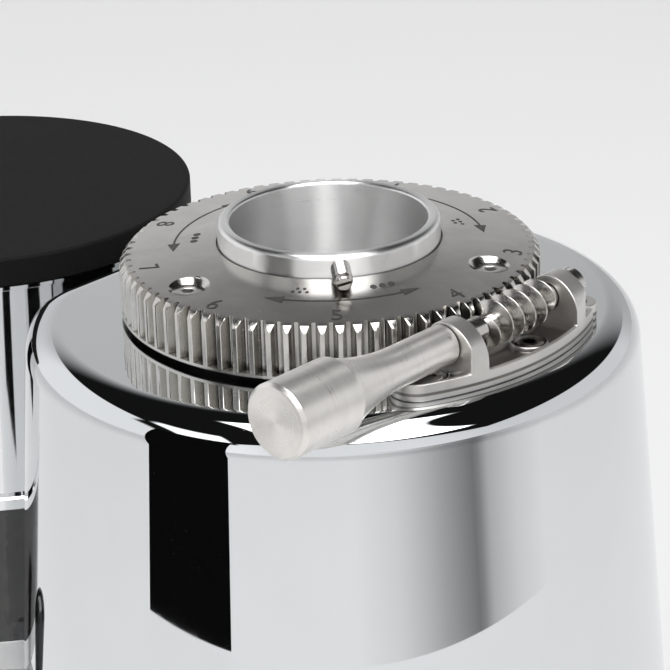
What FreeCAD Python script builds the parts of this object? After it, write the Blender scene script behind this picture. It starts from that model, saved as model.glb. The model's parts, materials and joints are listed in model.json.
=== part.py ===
"""Burr coffee grinder with a worm-driven grind dial and a lever doser.

Frame: millimetres, +Z up, the table at Z = 0, the doser towards -Y, the worm and its knob at +Y.
The burr axis is the reference of every piece; place() shifts it so that the whole grinder
stands centred on the origin.
"""

import FreeCAD, Part

import math
import os

import Sketcher
from FreeCAD import Placement, Rotation, Vector

DOCUMENT = FreeCAD.newDocument("burr_grinder")

# Driving dimensions in millimetres, angles in degrees, counts as they are
DRIVING = {
    # Casing
    "foot_height": 10, "foot_radius": 13, "foot_taper": 2.5, "foot_spread": 58, "foot_reach": 58,
    "body_height": 252, "body_flare": 17, "front_inset": 12, "corner_radius": 24, "shoulder_radius": 10,
    "body_wall": 2.5, "top_wall": 4, "dial_opening": 51, "base_thickness": 3,
    # Ring gear and dial
    "gear_module": 1.5, "gear_teeth": 76, "tooth_height": 14, "tip_chamfer": 2, "pressure_angle": 20,
    "flange_thickness": 1, "dial_gap": 1.5, "dial_rise": 3.4, "dial_thickness": 8, "dial_rim": 3,
    "dial_screw_circle": 47.8, "dial_screw_angle": 109, "countersink_radius": 6,
    "countersink_depth": 1.2,
    # Throat collar and its stud
    "throat_radius": 27.5, "collar_wall": 3.5, "collar_rise": 6.4, "collar_round": 1.6,
    "stud_radius": 2.7, "stud_reach": 10, "stud_seat": 2, "stud_angle": 48, "stud_lift": 0.2,
    # Worm and knob
    "worm_turns": 5.5, "worm_pitch_radius": 4.75, "worm_drop": 5.2, "worm_shift": 4.8,
    "worm_backlash": 0.42, "worm_runout": 1, "journal_radius": 3.5, "shank_radius": 5.6,
    "shank_straight": 18.5, "shank_taper": 23.6, "grip_radius": 10.4, "grip_length": 22.7,
    "grip_chamfer": 1.2, "grip_groove": 0.6, "shaft_grip": 12, "nut_radius": 5.2, "nut_thickness": 4.2,
    "nut_slot": 1.3, "shaft_end": 0.6,
    # Worm bracket
    "bracket_gap": 2, "bracket_width": 14.2, "bracket_margin": 0.8, "bracket_plate": 5,
    "bracket_recess": 3, "bracket_rim": 1.4, "bracket_start_angle": 61.7, "bracket_end_angle": 116,
    "lug_radius": 5, "lug_angle": 119.5, "lug_hole": 2.3, "post_near": 17.3, "post_far": 20,
    "post_thickness": 5.9, "post_wall": 2.6, "post_bend": 10.5, "post_gap": 0.8,
    "bracket_screw_circle": 66, "near_screw_angle": 65.5, "middle_screw_angle": 96, "bracket_boss": 5.2,
    "bracket_boss_height": 3.4,
    # Screws
    "screw_radius": 2, "screw_head_radius": 4.5, "screw_length": 9, "screw_socket": 1.75,
    "screw_socket_depth": 1.6, "screw_head_flat": 0.4,
    # Burrs and carriers
    "carrier_radius": 44, "carrier_flange": 6, "carrier_depth": 28, "burr_radius": 32, "burr_inner": 19,
    "burr_thickness": 8, "burr_gap": 0.3, "burr_grooves": 12, "burr_groove_width": 2.4,
    "burr_groove_depth": 1.5, "burr_screw_circle": 26, "lower_carrier_thickness": 10,
    "sweeper_reach": 6.4, "sweeper_width": 5, "sweeper_height": 7, "nut_across": 9, "nut_sides": 6,
    "carrier_nut_height": 7,
    # Grinding chamber and chute
    "cavity_radius": 40, "chamber_wall": 20, "chamber_flange": 4, "chamber_flange_height": 10,
    "floor_gap": 1, "floor_thickness": 12, "chute_width": 26, "chute_height": 14, "chute_wall": 2,
    # Motor
    "shaft_radius": 8, "bearing_radius": 16, "bearing_height": 9, "motor_radius": 63, "motor_wall": 3,
    "motor_room": 8.7, "stator_inner": 33, "air_gap": 0.5, "winding_height": 18, "winding_room": 6,
    "winding_inner": 38, "winding_outer": 58, "shield_thickness": 8, "fan_radius": 45, "fan_hub": 14,
    "fan_blades": 9, "fan_height": 9, "fan_gap": 3, "blade_thickness": 2, "shaft_tail": 3,
    "capacitor_radius": 16, "capacitor_length": 62, "capacitor_place": 42,
    # Doser
    "doser_gap": 0.6, "doser_radius": 64.4, "doser_wall": 2.5, "collar_height": 66.8,
    "ledge_height": 4.4, "ledge_edge": 0.6, "rim_height": 2, "rim_bulge": 0.9, "ledge_reach": 2.2,
    "chamber_height": 44, "doser_floor": 12, "lid_sink": 5.6, "lid_height": 8.6, "lid_overhang": 1.5,
    "lid_wall": 3, "lid_plug": 5, "lid_play": 0.3, "outlet_radius": 14, "outlet_margin": 9.5,
    "outlet_drop": 9, "outlet_wall": 2, "star_vanes": 6, "vane_thickness": 2, "vane_height": 36,
    "hub_radius": 10, "axle_radius": 6, "saddle_width": 56, "saddle_height": 46, "saddle_low": 4,
    # Doser lever
    "lever_hub": 12.5, "lever_hub_height": 9, "lever_width": 10, "lever_thickness": 6,
    "lever_reach": 82, "lever_angle": 25, "lever_grip_length": 34, "lever_grip_radius": 8.5,
    "lever_pin_radius": 3,
    # Portafilter fork
    "fork_gap": 5.2, "fork_thickness": 7, "fork_inner": 32, "fork_arm": 11, "fork_reach": 62,
    "fork_plate_height": 34, "fork_plate_depth": 6, "fork_screw_spread": 15,
    # Switch and cord inlet
    "switch_height": 62, "switch_width": 16, "switch_length": 27, "switch_flange": 2.5,
    "switch_flange_thickness": 2, "switch_depth": 15, "rocker_width": 11, "rocker_radius": 10,
    "rocker_pivot": 5, "rocker_rise": 5, "rocker_play": 0.4, "rocker_swing": 8,
    "rocker_under_angle": 30, "gland_place": 68, "gland_radius": 8, "gland_bore": 4.5,
    "gland_flange": 2.5,
    # Fits
    "running_clearance": 0.05, "seat_clearance": 0.1, "face_clearance": 0.3,
}


class Size:
    """A number that knows its value and the expression that gives it."""

    def __init__(self, value, text):
        self.value = value
        self.text = text

    @staticmethod
    def of(number):
        return number if isinstance(number, Size) else Size(float(number), repr(float(number)))

    def combine(self, other, sign, value):
        return Size(value, f"({self.text} {sign} {Size.of(other).text})")

    def __add__(self, other):
        return self.combine(other, "+", self.value + Size.of(other).value)

    def __sub__(self, other):
        return self.combine(other, "-", self.value - Size.of(other).value)

    def __mul__(self, other):
        return self.combine(other, "*", self.value * Size.of(other).value)

    def __truediv__(self, other):
        return self.combine(other, "/", self.value / Size.of(other).value)

    def __radd__(self, other):
        return Size.of(other) + self

    def __rsub__(self, other):
        return Size.of(other) - self

    def __rmul__(self, other):
        return Size.of(other) * self

    def __rtruediv__(self, other):
        return Size.of(other) / self

    def __neg__(self):
        return Size.of(-1) * self


class Sheet:
    """Gives each driving dimension of the spreadsheet as a Size."""

    def __init__(self, driving):
        self.cells = DOCUMENT.addObject("Spreadsheet::Sheet", "sizes")
        self.values = driving
        for row, (alias, value) in enumerate(driving.items(), 1):
            self.cells.set(f"A{row}", alias)
            self.cells.set(f"B{row}", str(value))
            self.cells.setAlias(f"B{row}", alias)

    def __getattr__(self, alias):
        return Size(float(self.values[alias]), f"sizes.{alias}")


def cos_of(angle):
    return Size(math.cos(math.radians(angle.value)), f"cos({angle.text})")


def sin_of(angle):
    return Size(math.sin(math.radians(angle.value)), f"sin({angle.text})")


def tan_of(angle):
    return Size(math.tan(math.radians(angle.value)), f"tan({angle.text})")


def larger(one, other):
    return Size(max(one.value, other.value), f"max({one.text}; {other.text})")


def root_of(square):
    return Size(math.sqrt(square.value), f"sqrt({square.text})")


def slope_of(rise, run):
    """The angle in degrees whose tangent is rise over run."""
    value = math.degrees(math.atan(rise.value / run.value))
    return Size(value, f"(atan({rise.text} / {run.text}) / 1deg)")


s = Sheet(DRIVING)
DOCUMENT.recompute()

# Levels from the table up
body_top = s.foot_height + s.body_height
top_under = body_top - s.top_wall
flange_low = body_top + s.dial_gap
teeth_low = flange_low + s.flange_thickness
tip_plane = teeth_low + s.tooth_height
dial_under = tip_plane - s.dial_thickness
dial_crown = tip_plane + s.dial_rise
collar_top = dial_crown + s.collar_rise
carrier_low = dial_under - s.carrier_flange
burr_seat = body_top - s.carrier_depth
upper_burr_low = burr_seat - s.burr_thickness
lower_burr_top = upper_burr_low - s.burr_gap
lower_burr_low = lower_burr_top - s.burr_thickness
lower_carrier_low = lower_burr_low - s.lower_carrier_thickness
floor_top = lower_carrier_low - s.floor_gap
floor_low = floor_top - s.floor_thickness
base_top = s.foot_height + s.base_thickness
shaft_low = base_top + 2 * s.capacitor_radius + s.motor_room
fan_low = shaft_low + s.shaft_tail
fan_top = fan_low + s.fan_height
shield_low = fan_top + s.fan_gap
casing_low = shield_low + s.shield_thickness
stator_low = casing_low + s.winding_height + s.winding_room
stator_top = floor_low - s.winding_height - s.winding_room
lid_low = body_top - s.lid_sink
doser_collar_low = lid_low - s.collar_height
ledge_low = doser_collar_low - s.ledge_height
chamber_low = ledge_low - s.chamber_height
doser_low = chamber_low - s.doser_floor
lever_top = doser_low - s.face_clearance
lever_low = lever_top - s.lever_hub_height

# Ring gear and worm
pitch_radius = s.gear_module * s.gear_teeth / 2
tip_radius = pitch_radius + s.gear_module
root_radius = pitch_radius - 1.25 * s.gear_module
circular_pitch = math.pi * s.gear_module
flank = tan_of(s.pressure_angle)
collar_radius = s.throat_radius + s.collar_wall
dial_pocket = root_radius - s.dial_rim
worm_radius = s.worm_pitch_radius + s.gear_module
worm_core = s.worm_pitch_radius - 1.25 * s.gear_module
worm_y = pitch_radius + s.worm_pitch_radius
worm_z = tip_plane - s.worm_drop
shank_start = s.post_near + s.post_thickness + s.face_clearance
nut_start = s.post_far + s.post_thickness + s.face_clearance
grip_start = shank_start + s.shank_straight + s.shank_taper
grip_end = grip_start + s.grip_length

# Casing outline
bracket_inner = tip_radius + s.bracket_gap
bracket_outer = bracket_inner + s.bracket_width
top_radius = bracket_outer + s.bracket_margin + s.shoulder_radius
front_reach = top_radius - s.front_inset
base_radius = top_radius + s.body_flare
base_front = front_reach + s.body_flare
casing_slope = slope_of(s.body_flare, s.body_height)


def flare_at(level):
    """How far the casing has flared at a level, from none at its top."""
    return s.body_flare * (body_top - level) / s.body_height


def width_at(level):
    """Half the width of the casing at a level."""
    return top_radius + flare_at(level)


def front_at(level):
    """How far the front of the casing lies from the burr axis at a level."""
    return front_reach + flare_at(level)


# Doser, fork and overall centre
doser_inner = s.doser_radius - s.doser_wall
lid_radius = s.doser_radius + s.lid_overhang
doser_y = -(front_at(doser_low) + s.doser_gap + s.doser_radius)
outlet_y = doser_y - (doser_inner - s.outlet_radius - s.outlet_margin)
ledge_radius = s.doser_radius + s.ledge_reach
burr_axis_y = (larger(lid_radius, ledge_radius) - doser_y - base_radius) / 2
chute_low = floor_top - s.chute_wall
chute_outer_width = s.chute_width + 2 * s.chute_wall
chute_outer_height = s.chute_height + 2 * s.chute_wall

NODES = {}


def bind(item, name, size):
    """Sets a property to a size and ties it to the spreadsheet."""
    size = Size.of(size)
    setattr(item, name, size.value)
    item.setExpression(name, size.text)


def place(item, x=0, y=0, z=0, axis=None, angle=0):
    """Places an item from the burr axis and the table, turned about an axis through its own origin."""
    spot = [Size.of(x), Size.of(y) + burr_axis_y, Size.of(z)]
    angle = Size.of(angle)
    turn = Rotation(Vector(*axis), angle.value) if axis else Rotation()
    item.Placement = Placement(Vector(*[part.value for part in spot]), turn)
    for letter, part in zip("xyz", spot):
        item.setExpression(f"Placement.Base.{letter}", part.text)
    if axis:
        item.setExpression("Placement.Rotation.Angle", angle.text)
    return item


def along_worm(item, distance=0):
    """Places an item with its Z axis on the worm axis, a distance towards the knob."""
    return place(item, distance, worm_y, worm_z, (0, 1, 0), 90)


def node(name, item):
    """Names an item as one of the grinder's pieces."""
    item.Label = name
    NODES[name] = item
    return item


def new_body(name):
    return DOCUMENT.addObject("PartDesign::Body", f"{name}_body")


def new_sketch(body, name, role, offset=None):
    """A sketch on one of the body's own planes, lifted off it by an offset."""
    sketch = body.newObject("Sketcher::SketchObject", name)
    plane = [feature for feature in body.Origin.OriginFeatures if feature.Role == role][0]
    sketch.AttachmentSupport = [(plane, "")]
    sketch.MapMode = "FlatFace"
    if offset is not None:
        sketch.AttachmentOffset = Placement(Vector(0, 0, offset.value), Rotation())
        sketch.setExpression("AttachmentOffset.Base.z", offset.text)
    return sketch


def pin_point(sketch, geometry, corner, point):
    """Holds a corner of the sketch at a point given in sizes."""
    for kind, axis_line, part in (("DistanceX", -2, point[0]), ("DistanceY", -1, point[1])):
        if not isinstance(part, Size):
            sketch.addConstraint(Sketcher.Constraint("PointOnObject", geometry, corner, axis_line))
            continue
        index = sketch.addConstraint(Sketcher.Constraint(kind, -1, 1, geometry, corner, part.value))
        tie_constraint(sketch, index, part)


def tie_constraint(sketch, index, size):
    sketch.setExpression(f"Constraints[{index}]", size.text)


def flat_vector(point):
    return Vector(Size.of(point[0]).value, Size.of(point[1]).value, 0)


def arc_between(start, end, radius):
    """The short arc from start to end; a negative radius bends to the other side."""
    chord = end - start
    half = chord.Length / 2
    side = Vector(-chord.y, chord.x, 0).normalize()
    reach = math.sqrt(max(radius * radius - half * half, 0))
    centre = (start + end) / 2 + side * math.copysign(reach, radius)
    first, last = (start, end) if radius > 0 else (end, start)
    angles = [math.atan2(point.y - centre.y, point.x - centre.x) for point in (first, last)]
    return Part.ArcOfCircle(Part.Circle(centre, Vector(0, 0, 1), abs(radius)), angles[0], angles[1])


def draw_outline(sketch, points):
    """Draws a closed outline; a third entry in a point is the radius of the arc to the next point."""
    first = sketch.GeometryCount
    ends = []
    for index, point in enumerate(points):
        start = flat_vector(point)
        end = flat_vector(points[(index + 1) % len(points)])
        if len(point) == 2:
            sketch.addGeometry(Part.LineSegment(start, end), False)
            ends.append((1, 2))
        else:
            sketch.addGeometry(arc_between(start, end, point[2].value), False)
            ends.append((1, 2) if point[2].value > 0 else (2, 1))
    for index in range(len(points)):
        following = (index + 1) % len(points)
        sketch.addConstraint(Sketcher.Constraint("Coincident", first + index, ends[index][1],
                                                 first + following, ends[following][0]))
    for index, point in enumerate(points):
        pin_point(sketch, first + index, ends[index][0], point)
        if len(point) == 3:
            bend = point[2] if point[2].value > 0 else -point[2]
            row = sketch.addConstraint(Sketcher.Constraint("Radius", first + index, bend.value))
            tie_constraint(sketch, row, bend)


def draw_circle(sketch, x, y, radius):
    index = sketch.GeometryCount
    centre = flat_vector((x, y))
    sketch.addGeometry(Part.Circle(centre, Vector(0, 0, 1), radius.value), False)
    pin_point(sketch, index, 3, (x, y))
    row = sketch.addConstraint(Sketcher.Constraint("Radius", index, radius.value))
    tie_constraint(sketch, row, radius)


def turned(name, points):
    """A body turned about Z from a half outline of radius and height."""
    body = new_body(name)
    sketch = new_sketch(body, f"{name}_half", "XZ_Plane")
    draw_outline(sketch, points)
    turn = body.newObject("PartDesign::Revolution", f"{name}_turn")
    turn.Profile = sketch
    turn.ReferenceAxis = (sketch, ["V_Axis"])
    turn.Angle = 360
    body.Tip = turn
    return body


def pad_outline(body, name, points, height, role="XY_Plane", offset=None, circles=()):
    """Adds a pad of an outline, with round holes, to a body."""
    sketch = new_sketch(body, f"{name}_outline", role, offset)
    if points:
        draw_outline(sketch, points)
    for circle in circles:
        draw_circle(sketch, *circle)
    pad = body.newObject("PartDesign::Pad", f"{name}_pad")
    pad.Profile = sketch
    bind(pad, "Length", height)
    body.Tip = pad
    return pad


def repeat_round(body, feature, name, count):
    """Repeats a feature round the body's Z axis."""
    pattern = body.newObject("PartDesign::PolarPattern", f"{name}_pattern")
    pattern.Originals = [feature]
    pattern.Axis = ([part for part in body.Origin.OriginFeatures if part.Role == "Z_Axis"][0], [""])
    pattern.Angle = 360
    pattern.setExpression("Occurrences", count.text)
    body.Tip = pattern
    return pattern


def cylinder(name, radius, height):
    item = DOCUMENT.addObject("Part::Cylinder", name)
    bind(item, "Radius", radius)
    bind(item, "Height", height)
    return item


def box(name, length, width, height):
    item = DOCUMENT.addObject("Part::Box", name)
    bind(item, "Length", length)
    bind(item, "Width", width)
    bind(item, "Height", height)
    return item


def fused(name, *items):
    joined = DOCUMENT.addObject("Part::MultiFuse", f"{name}_fuse")
    joined.Shapes = list(items)
    return joined


def cut(name, base, *tools):
    """A base less its tools."""
    item = DOCUMENT.addObject("Part::Cut", f"{name}_cut")
    item.Base = base
    item.Tool = fused(f"{name}_tools", *tools) if len(tools) > 1 else tools[0]
    return item


def group(name, items):
    """Separate solids that make one piece group, such as a set of screws."""
    gathered = DOCUMENT.addObject("Part::Compound", f"{name}_group")
    gathered.Links = items
    return node(name, gathered)


def on_circle(radius, angle):
    return radius * cos_of(angle), radius * sin_of(angle)


def casing_outline(offset):
    """Plan of the casing's top moved outwards: round, with a flat front between round corners."""
    radius = top_radius + offset
    front = front_reach + offset
    corner = s.corner_radius + offset
    corner_out = top_radius - s.corner_radius
    corner_y = front_reach - s.corner_radius
    corner_x = root_of(corner_out * corner_out - corner_y * corner_y)
    meet_x = corner_x * radius / corner_out
    meet_y = -corner_y * radius / corner_out
    return [(radius, 0, radius), (0, radius, radius), (-radius, 0, radius), (-meet_x, meet_y, corner),
            (-corner_x, -front), (corner_x, -front, corner), (meet_x, meet_y, radius)]


def flared_casing(name, inset, low, high, rounding):
    """The casing's outer or inner form: its top plan drawn downwards with an even flare and a rolled edge."""
    body = new_body(name)
    drop = pad_outline(body, name, casing_outline(flare_at(high) - inset), high - low, offset=high)
    drop.Reversed = True
    bind(drop, "TaperAngle", casing_slope)
    DOCUMENT.recompute()
    top_edges = [f"Edge{index}" for index, edge in enumerate(drop.Shape.Edges, 1)
                 if all(abs(vertex.Z - high.value) < 1e-6 for vertex in edge.Vertexes)]
    roll = body.newObject("PartDesign::Fillet", f"{name}_roll")
    roll.Base = (drop, top_edges)
    bind(roll, "Radius", rounding)
    body.Tip = roll
    return place(body)


def screw(name, head_radius, length):
    """A countersunk screw with a socket, its head's rim at Z = 0 and its shank below."""
    cone_low = -(s.screw_head_flat + head_radius - s.screw_radius)
    shank = turned(name, [(0, -length), (s.screw_radius, -length), (s.screw_radius, cone_low),
                          (head_radius, -s.screw_head_flat), (head_radius, 0),
                          (s.screw_socket, 0), (s.screw_socket, -s.screw_socket_depth),
                          (0, -s.screw_socket_depth)])
    return shank


def screw_seat(name, head_radius, length):
    """The countersunk hole that a screw fills, open above its head."""
    cone_low = -(s.screw_head_flat + head_radius - s.screw_radius)
    above = s.countersink_depth * 4
    return turned(name, [(0, -length), (s.screw_radius, -length), (s.screw_radius, cone_low),
                         (head_radius, -s.screw_head_flat), (head_radius, above), (0, above)])


# Casing
def make_casing():
    outer = flared_casing("casing_outer", Size.of(0), s.foot_height, body_top, s.shoulder_radius)
    inner = flared_casing("casing_inner", s.body_wall, s.foot_height - s.base_thickness, top_under,
                          s.shoulder_radius - s.body_wall)
    opening = place(cylinder("casing_opening", s.dial_opening, 2 * s.top_wall), z=top_under - s.top_wall)
    port = place(box("casing_port", chute_outer_width, front_reach, chute_outer_height),
                 -chute_outer_width / 2, -base_front, chute_low)
    window = place(box("casing_window", s.switch_length, s.switch_width, s.switch_depth),
                   *switch_corner(s.switch_length, s.switch_width, -s.switch_depth / 2), (0, 1, 0),
                   switch_turn)
    holes = [place(cylinder(f"casing_hole_{index}", s.screw_radius, 2 * bracket_screw_length),
                   *spot, top_under) for index, spot in enumerate(bracket_spots())]
    fork_holes = [place(cylinder(f"casing_fork_hole_{index}", s.screw_radius, s.screw_length),
                        x, fork_screw_y, fork_screw_z, (1, 0, 0), -90)
                  for index, x in enumerate(fork_screw_places())]
    housing = cut("body_housing", outer, inner, opening, port, window, *holes, *fork_holes)
    node("body_housing", housing)
    return outer


def make_base():
    plate = new_body("base_plate")
    inlet = (0, s.gland_place, s.gland_radius)
    pad_outline(plate, "base_plate", casing_outline(s.body_flare - s.body_wall - s.face_clearance),
                s.base_thickness, circles=[inlet])
    node("base_plate", place(plate, z=s.foot_height))
    feet = []
    for index, (side, end) in enumerate(((1, 1), (-1, 1), (-1, -1), (1, -1))):
        foot = turned(f"foot_{index}", [(0, 0), (s.foot_radius - s.foot_taper, 0),
                                        (s.foot_radius, s.foot_height), (0, s.foot_height)])
        feet.append(place(foot, side * s.foot_spread, end * s.foot_reach))
    group("rubber_feet", feet)
    lip = s.gland_radius + s.gland_flange
    gland = turned("cord_gland", [(s.gland_bore, -s.gland_flange), (lip, -s.gland_flange), (lip, 0),
                                  (s.gland_radius, 0), (s.gland_radius, s.base_thickness),
                                  (lip, s.base_thickness), (lip, s.base_thickness + s.gland_flange),
                                  (s.gland_bore, s.base_thickness + s.gland_flange)])
    node("cord_gland", place(gland, 0, s.gland_place, s.foot_height))


# Switch on the flank away from the knob
switch_turn = casing_slope - 90
rocker_room_length = 2 * (s.rocker_radius + s.rocker_play)
rocker_drop = s.rocker_radius * sin_of(s.rocker_under_angle + s.rocker_swing)
rocker_room_depth = s.rocker_pivot + rocker_drop + s.rocker_play


def switch_point(along, out):
    """A point of the flank: along it downwards and out of it, from the switch's middle."""
    return (along * cos_of(switch_turn) + out * sin_of(switch_turn) - width_at(s.switch_height),
            out * cos_of(switch_turn) - along * sin_of(switch_turn) + s.switch_height)


def switch_corner(length, width, out):
    x, z = switch_point(-length / 2, out)
    return x, -width / 2, z


def switch_box(name, length, width, depth, out):
    return place(box(name, length, width, depth), *switch_corner(length, width, out), (0, 1, 0), switch_turn)


def make_switch(casing):
    lip = 2 * s.switch_flange
    block = switch_box("switch_flange_box", s.switch_length + lip, s.switch_width + lip,
                       2 * s.switch_flange_thickness, -s.switch_flange_thickness)
    flange = cut("switch_flange", block, casing)
    case = switch_box("switch_case", s.switch_length, s.switch_width, s.switch_depth, -s.switch_depth)
    room = switch_box("switch_room", rocker_room_length, s.rocker_width + 2 * s.rocker_play,
                      rocker_room_depth + s.rocker_rise, -rocker_room_depth)
    node("switch_bezel", cut("switch_bezel", fused("switch_bezel", flange, case), room))
    rocker = new_body("switch_rocker")
    low = -s.rocker_radius * sin_of(s.rocker_under_angle)
    side = s.rocker_radius * cos_of(s.rocker_under_angle)
    rise = s.rocker_pivot + s.rocker_rise / 2
    end = root_of(s.rocker_radius * s.rocker_radius - rise * rise)
    pad_outline(rocker, "switch_rocker",
                [(side, low, s.rocker_radius), (end, rise),
                 (0, s.rocker_pivot + s.switch_flange_thickness / 4),
                 (-end, rise, s.rocker_radius), (-side, low)], s.rocker_width, "XZ_Plane")
    x, z = switch_point(Size.of(0), -s.rocker_pivot)
    node("switch_rocker", place(rocker, x, s.rocker_width / 2, z, (0, 1, 0), switch_turn))


# Ring gear with its dial face
def gear_gap_outline():
    """One tooth gap at the worm's side, straight flanked."""
    past = s.tip_chamfer
    half = circular_pitch / 4
    low = half - 1.25 * s.gear_module * flank
    high = half + (s.gear_module + past) * flank
    return [(low, root_radius), (high, tip_radius + past), (-high, tip_radius + past), (-low, root_radius)]


def dial_spots():
    return [on_circle(s.dial_screw_circle, s.dial_screw_angle + step) for step in (0, 120, 240)]


def dial_surface(radius):
    """Height of the coned dial face at a radius."""
    return tip_plane + s.dial_rise * (tip_radius - radius) / (tip_radius - collar_radius)


screw_level = dial_surface(s.dial_screw_circle) - s.countersink_depth


def make_ring_gear():
    gear = turned("ring_gear", [(collar_radius, dial_under), (dial_pocket, dial_under),
                                (dial_pocket, flange_low),
                                (tip_radius, flange_low), (tip_radius, tip_plane - s.tip_chamfer),
                                (tip_radius - s.tip_chamfer, dial_surface(tip_radius - s.tip_chamfer)),
                                (collar_radius, dial_crown)])
    gap = new_sketch(gear, "tooth_gap", "XY_Plane", teeth_low)
    draw_outline(gap, gear_gap_outline())
    pocket = gear.newObject("PartDesign::Pocket", "tooth_gap_pocket")
    pocket.Profile = gap
    pocket.Type = "Length"
    pocket.Reversed = True
    bind(pocket, "Length", s.tooth_height + s.dial_rise)
    repeat_round(gear, pocket, "teeth", s.gear_teeth)
    place(gear)
    seats = []
    for index, spot in enumerate(dial_spots()):
        seats.append(place(screw_seat(f"dial_seat_{index}", s.screw_head_radius, s.screw_length), *spot,
                           screw_level))
        ring = turned(f"dial_sink_{index}", [(0, -s.countersink_depth),
                                             (s.screw_head_radius, -s.countersink_depth),
                                             (s.countersink_radius, 0), (s.countersink_radius, s.dial_rise),
                                             (0, s.dial_rise)])
        seats.append(place(ring, *spot, screw_level + s.countersink_depth))
    node("ring_gear", cut("ring_gear", gear, *seats))
    group("dial_screws", [place(screw(f"dial_screw_{index}", s.screw_head_radius, s.screw_length), *spot,
                                screw_level) for index, spot in enumerate(dial_spots())])


def make_throat():
    round_over = s.collar_round
    collar = turned("throat_collar", [(s.throat_radius, dial_under), (collar_radius, dial_under),
                                      (collar_radius, collar_top - round_over, round_over),
                                      (collar_radius - round_over, collar_top),
                                      (s.throat_radius + round_over / 2, collar_top),
                                      (s.throat_radius, collar_top - round_over / 2)])
    stud_z = dial_crown + s.stud_radius + s.stud_lift
    seat = place(cylinder("stud_hole", s.stud_radius, s.stud_seat + s.collar_wall),
                 *on_circle(collar_radius - s.stud_seat, s.stud_angle), stud_z)
    turn_stud(seat)
    node("throat_collar", cut("throat_collar", place(collar), seat))
    point = s.stud_radius / 3
    length = s.stud_seat + s.stud_reach
    stud = turned("hopper_stud", [(0, 0), (s.stud_radius, 0), (s.stud_radius, length - point),
                                  (s.stud_radius - point, length), (0, length)])
    node("hopper_stud", place(stud, *on_circle(collar_radius - s.stud_seat, s.stud_angle), stud_z))
    turn_stud(stud)


def turn_stud(item):
    """Lays an item's Z axis outwards along the stud's direction."""
    item.Placement.Rotation = Rotation(Vector(0, 0, 1), s.stud_angle.value).multiply(
        Rotation(Vector(0, 1, 0), 90))


# Worm, knob and bracket
def make_worm():
    start = nut_start + s.nut_thickness + s.shaft_end
    knob_seat = grip_start + s.shaft_grip
    half_length = circular_pitch * s.worm_turns / 2
    core_low = -s.worm_shift - half_length - s.worm_runout
    core_high = half_length - s.worm_shift + s.worm_runout
    shaft = turned("worm_shaft", [(0, -start), (s.journal_radius, -start), (s.journal_radius, core_low),
                                  (worm_core, core_low), (worm_core, core_high),
                                  (s.journal_radius, core_high), (s.journal_radius, knob_seat),
                                  (0, knob_seat)])
    half = circular_pitch / 4 - s.worm_backlash
    low = half + 1.25 * s.gear_module * flank
    crest = half - s.gear_module * flank
    sunk = worm_core / 8
    middle = -s.worm_shift - half_length
    thread = new_sketch(shaft, "worm_thread", "XZ_Plane")
    draw_outline(thread, [(worm_core - sunk, middle - low - sunk * flank),
                          (worm_core - sunk, middle + low + sunk * flank),
                          (worm_radius, middle + crest), (worm_radius, middle - crest)])
    helix = shaft.newObject("PartDesign::AdditiveHelix", "worm_helix")
    helix.Profile = thread
    helix.ReferenceAxis = (thread, ["V_Axis"])
    helix.Mode = "pitch-height-angle"
    bind(helix, "Pitch", circular_pitch)
    bind(helix, "Height", circular_pitch * s.worm_turns)
    shaft.Tip = helix
    node("worm_shaft", along_worm(shaft))
    groove = s.grip_groove
    taper_start = shank_start + s.shank_straight
    rise = s.grip_radius - groove - s.shank_radius
    hollow = (s.shank_taper * s.shank_taper + rise * rise) / (2 * rise)
    knob = turned("adjuster_knob", [
        (s.journal_radius, shank_start), (s.shank_radius, shank_start),
        (s.shank_radius, taper_start, -hollow),
        (s.grip_radius - groove, grip_start), (s.grip_radius - groove, grip_start + groove),
        (s.grip_radius, grip_start + groove), (s.grip_radius, grip_end - s.grip_chamfer),
        (s.grip_radius - s.grip_chamfer, grip_end), (0, grip_end), (0, knob_seat),
        (s.journal_radius, knob_seat)])
    node("adjuster_knob", along_worm(knob))
    nut = turned("worm_end_nut", [(s.journal_radius, -nut_start - s.nut_thickness),
                                  (s.nut_radius, -nut_start - s.nut_thickness), (s.nut_radius, -nut_start),
                                  (s.journal_radius, -nut_start)])
    slots = []
    for index, (length, width) in enumerate(((2 * s.nut_radius, s.nut_slot), (s.nut_slot, 2 * s.nut_radius))):
        slot = new_body(f"nut_slot_{index}")
        corner_x = length / 2
        corner_y = width / 2
        pad_outline(slot, f"nut_slot_{index}", [(corner_x, corner_y), (-corner_x, corner_y),
                                                (-corner_x, -corner_y), (corner_x, -corner_y)],
                    s.nut_thickness, offset=-nut_start - 1.5 * s.nut_thickness)
        slots.append(along_worm(slot))
    node("worm_end_nut", cut("worm_end_nut", along_worm(nut), *slots))


bracket_top = body_top + s.bracket_plate
bracket_middle = bracket_inner + s.bracket_width / 2
bracket_screw_level = body_top + s.bracket_boss_height
bracket_screw_length = s.bracket_boss_height + s.top_wall


def bracket_spots():
    return [on_circle(s.bracket_screw_circle, angle) for angle in (s.near_screw_angle, s.middle_screw_angle)]


def crescent(inner, outer, start, end):
    first, second = on_circle(outer, start), on_circle(outer, end)
    third, fourth = on_circle(inner, end), on_circle(inner, start)
    return [(*first, outer), second, (*third, -inner), fourth]


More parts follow.
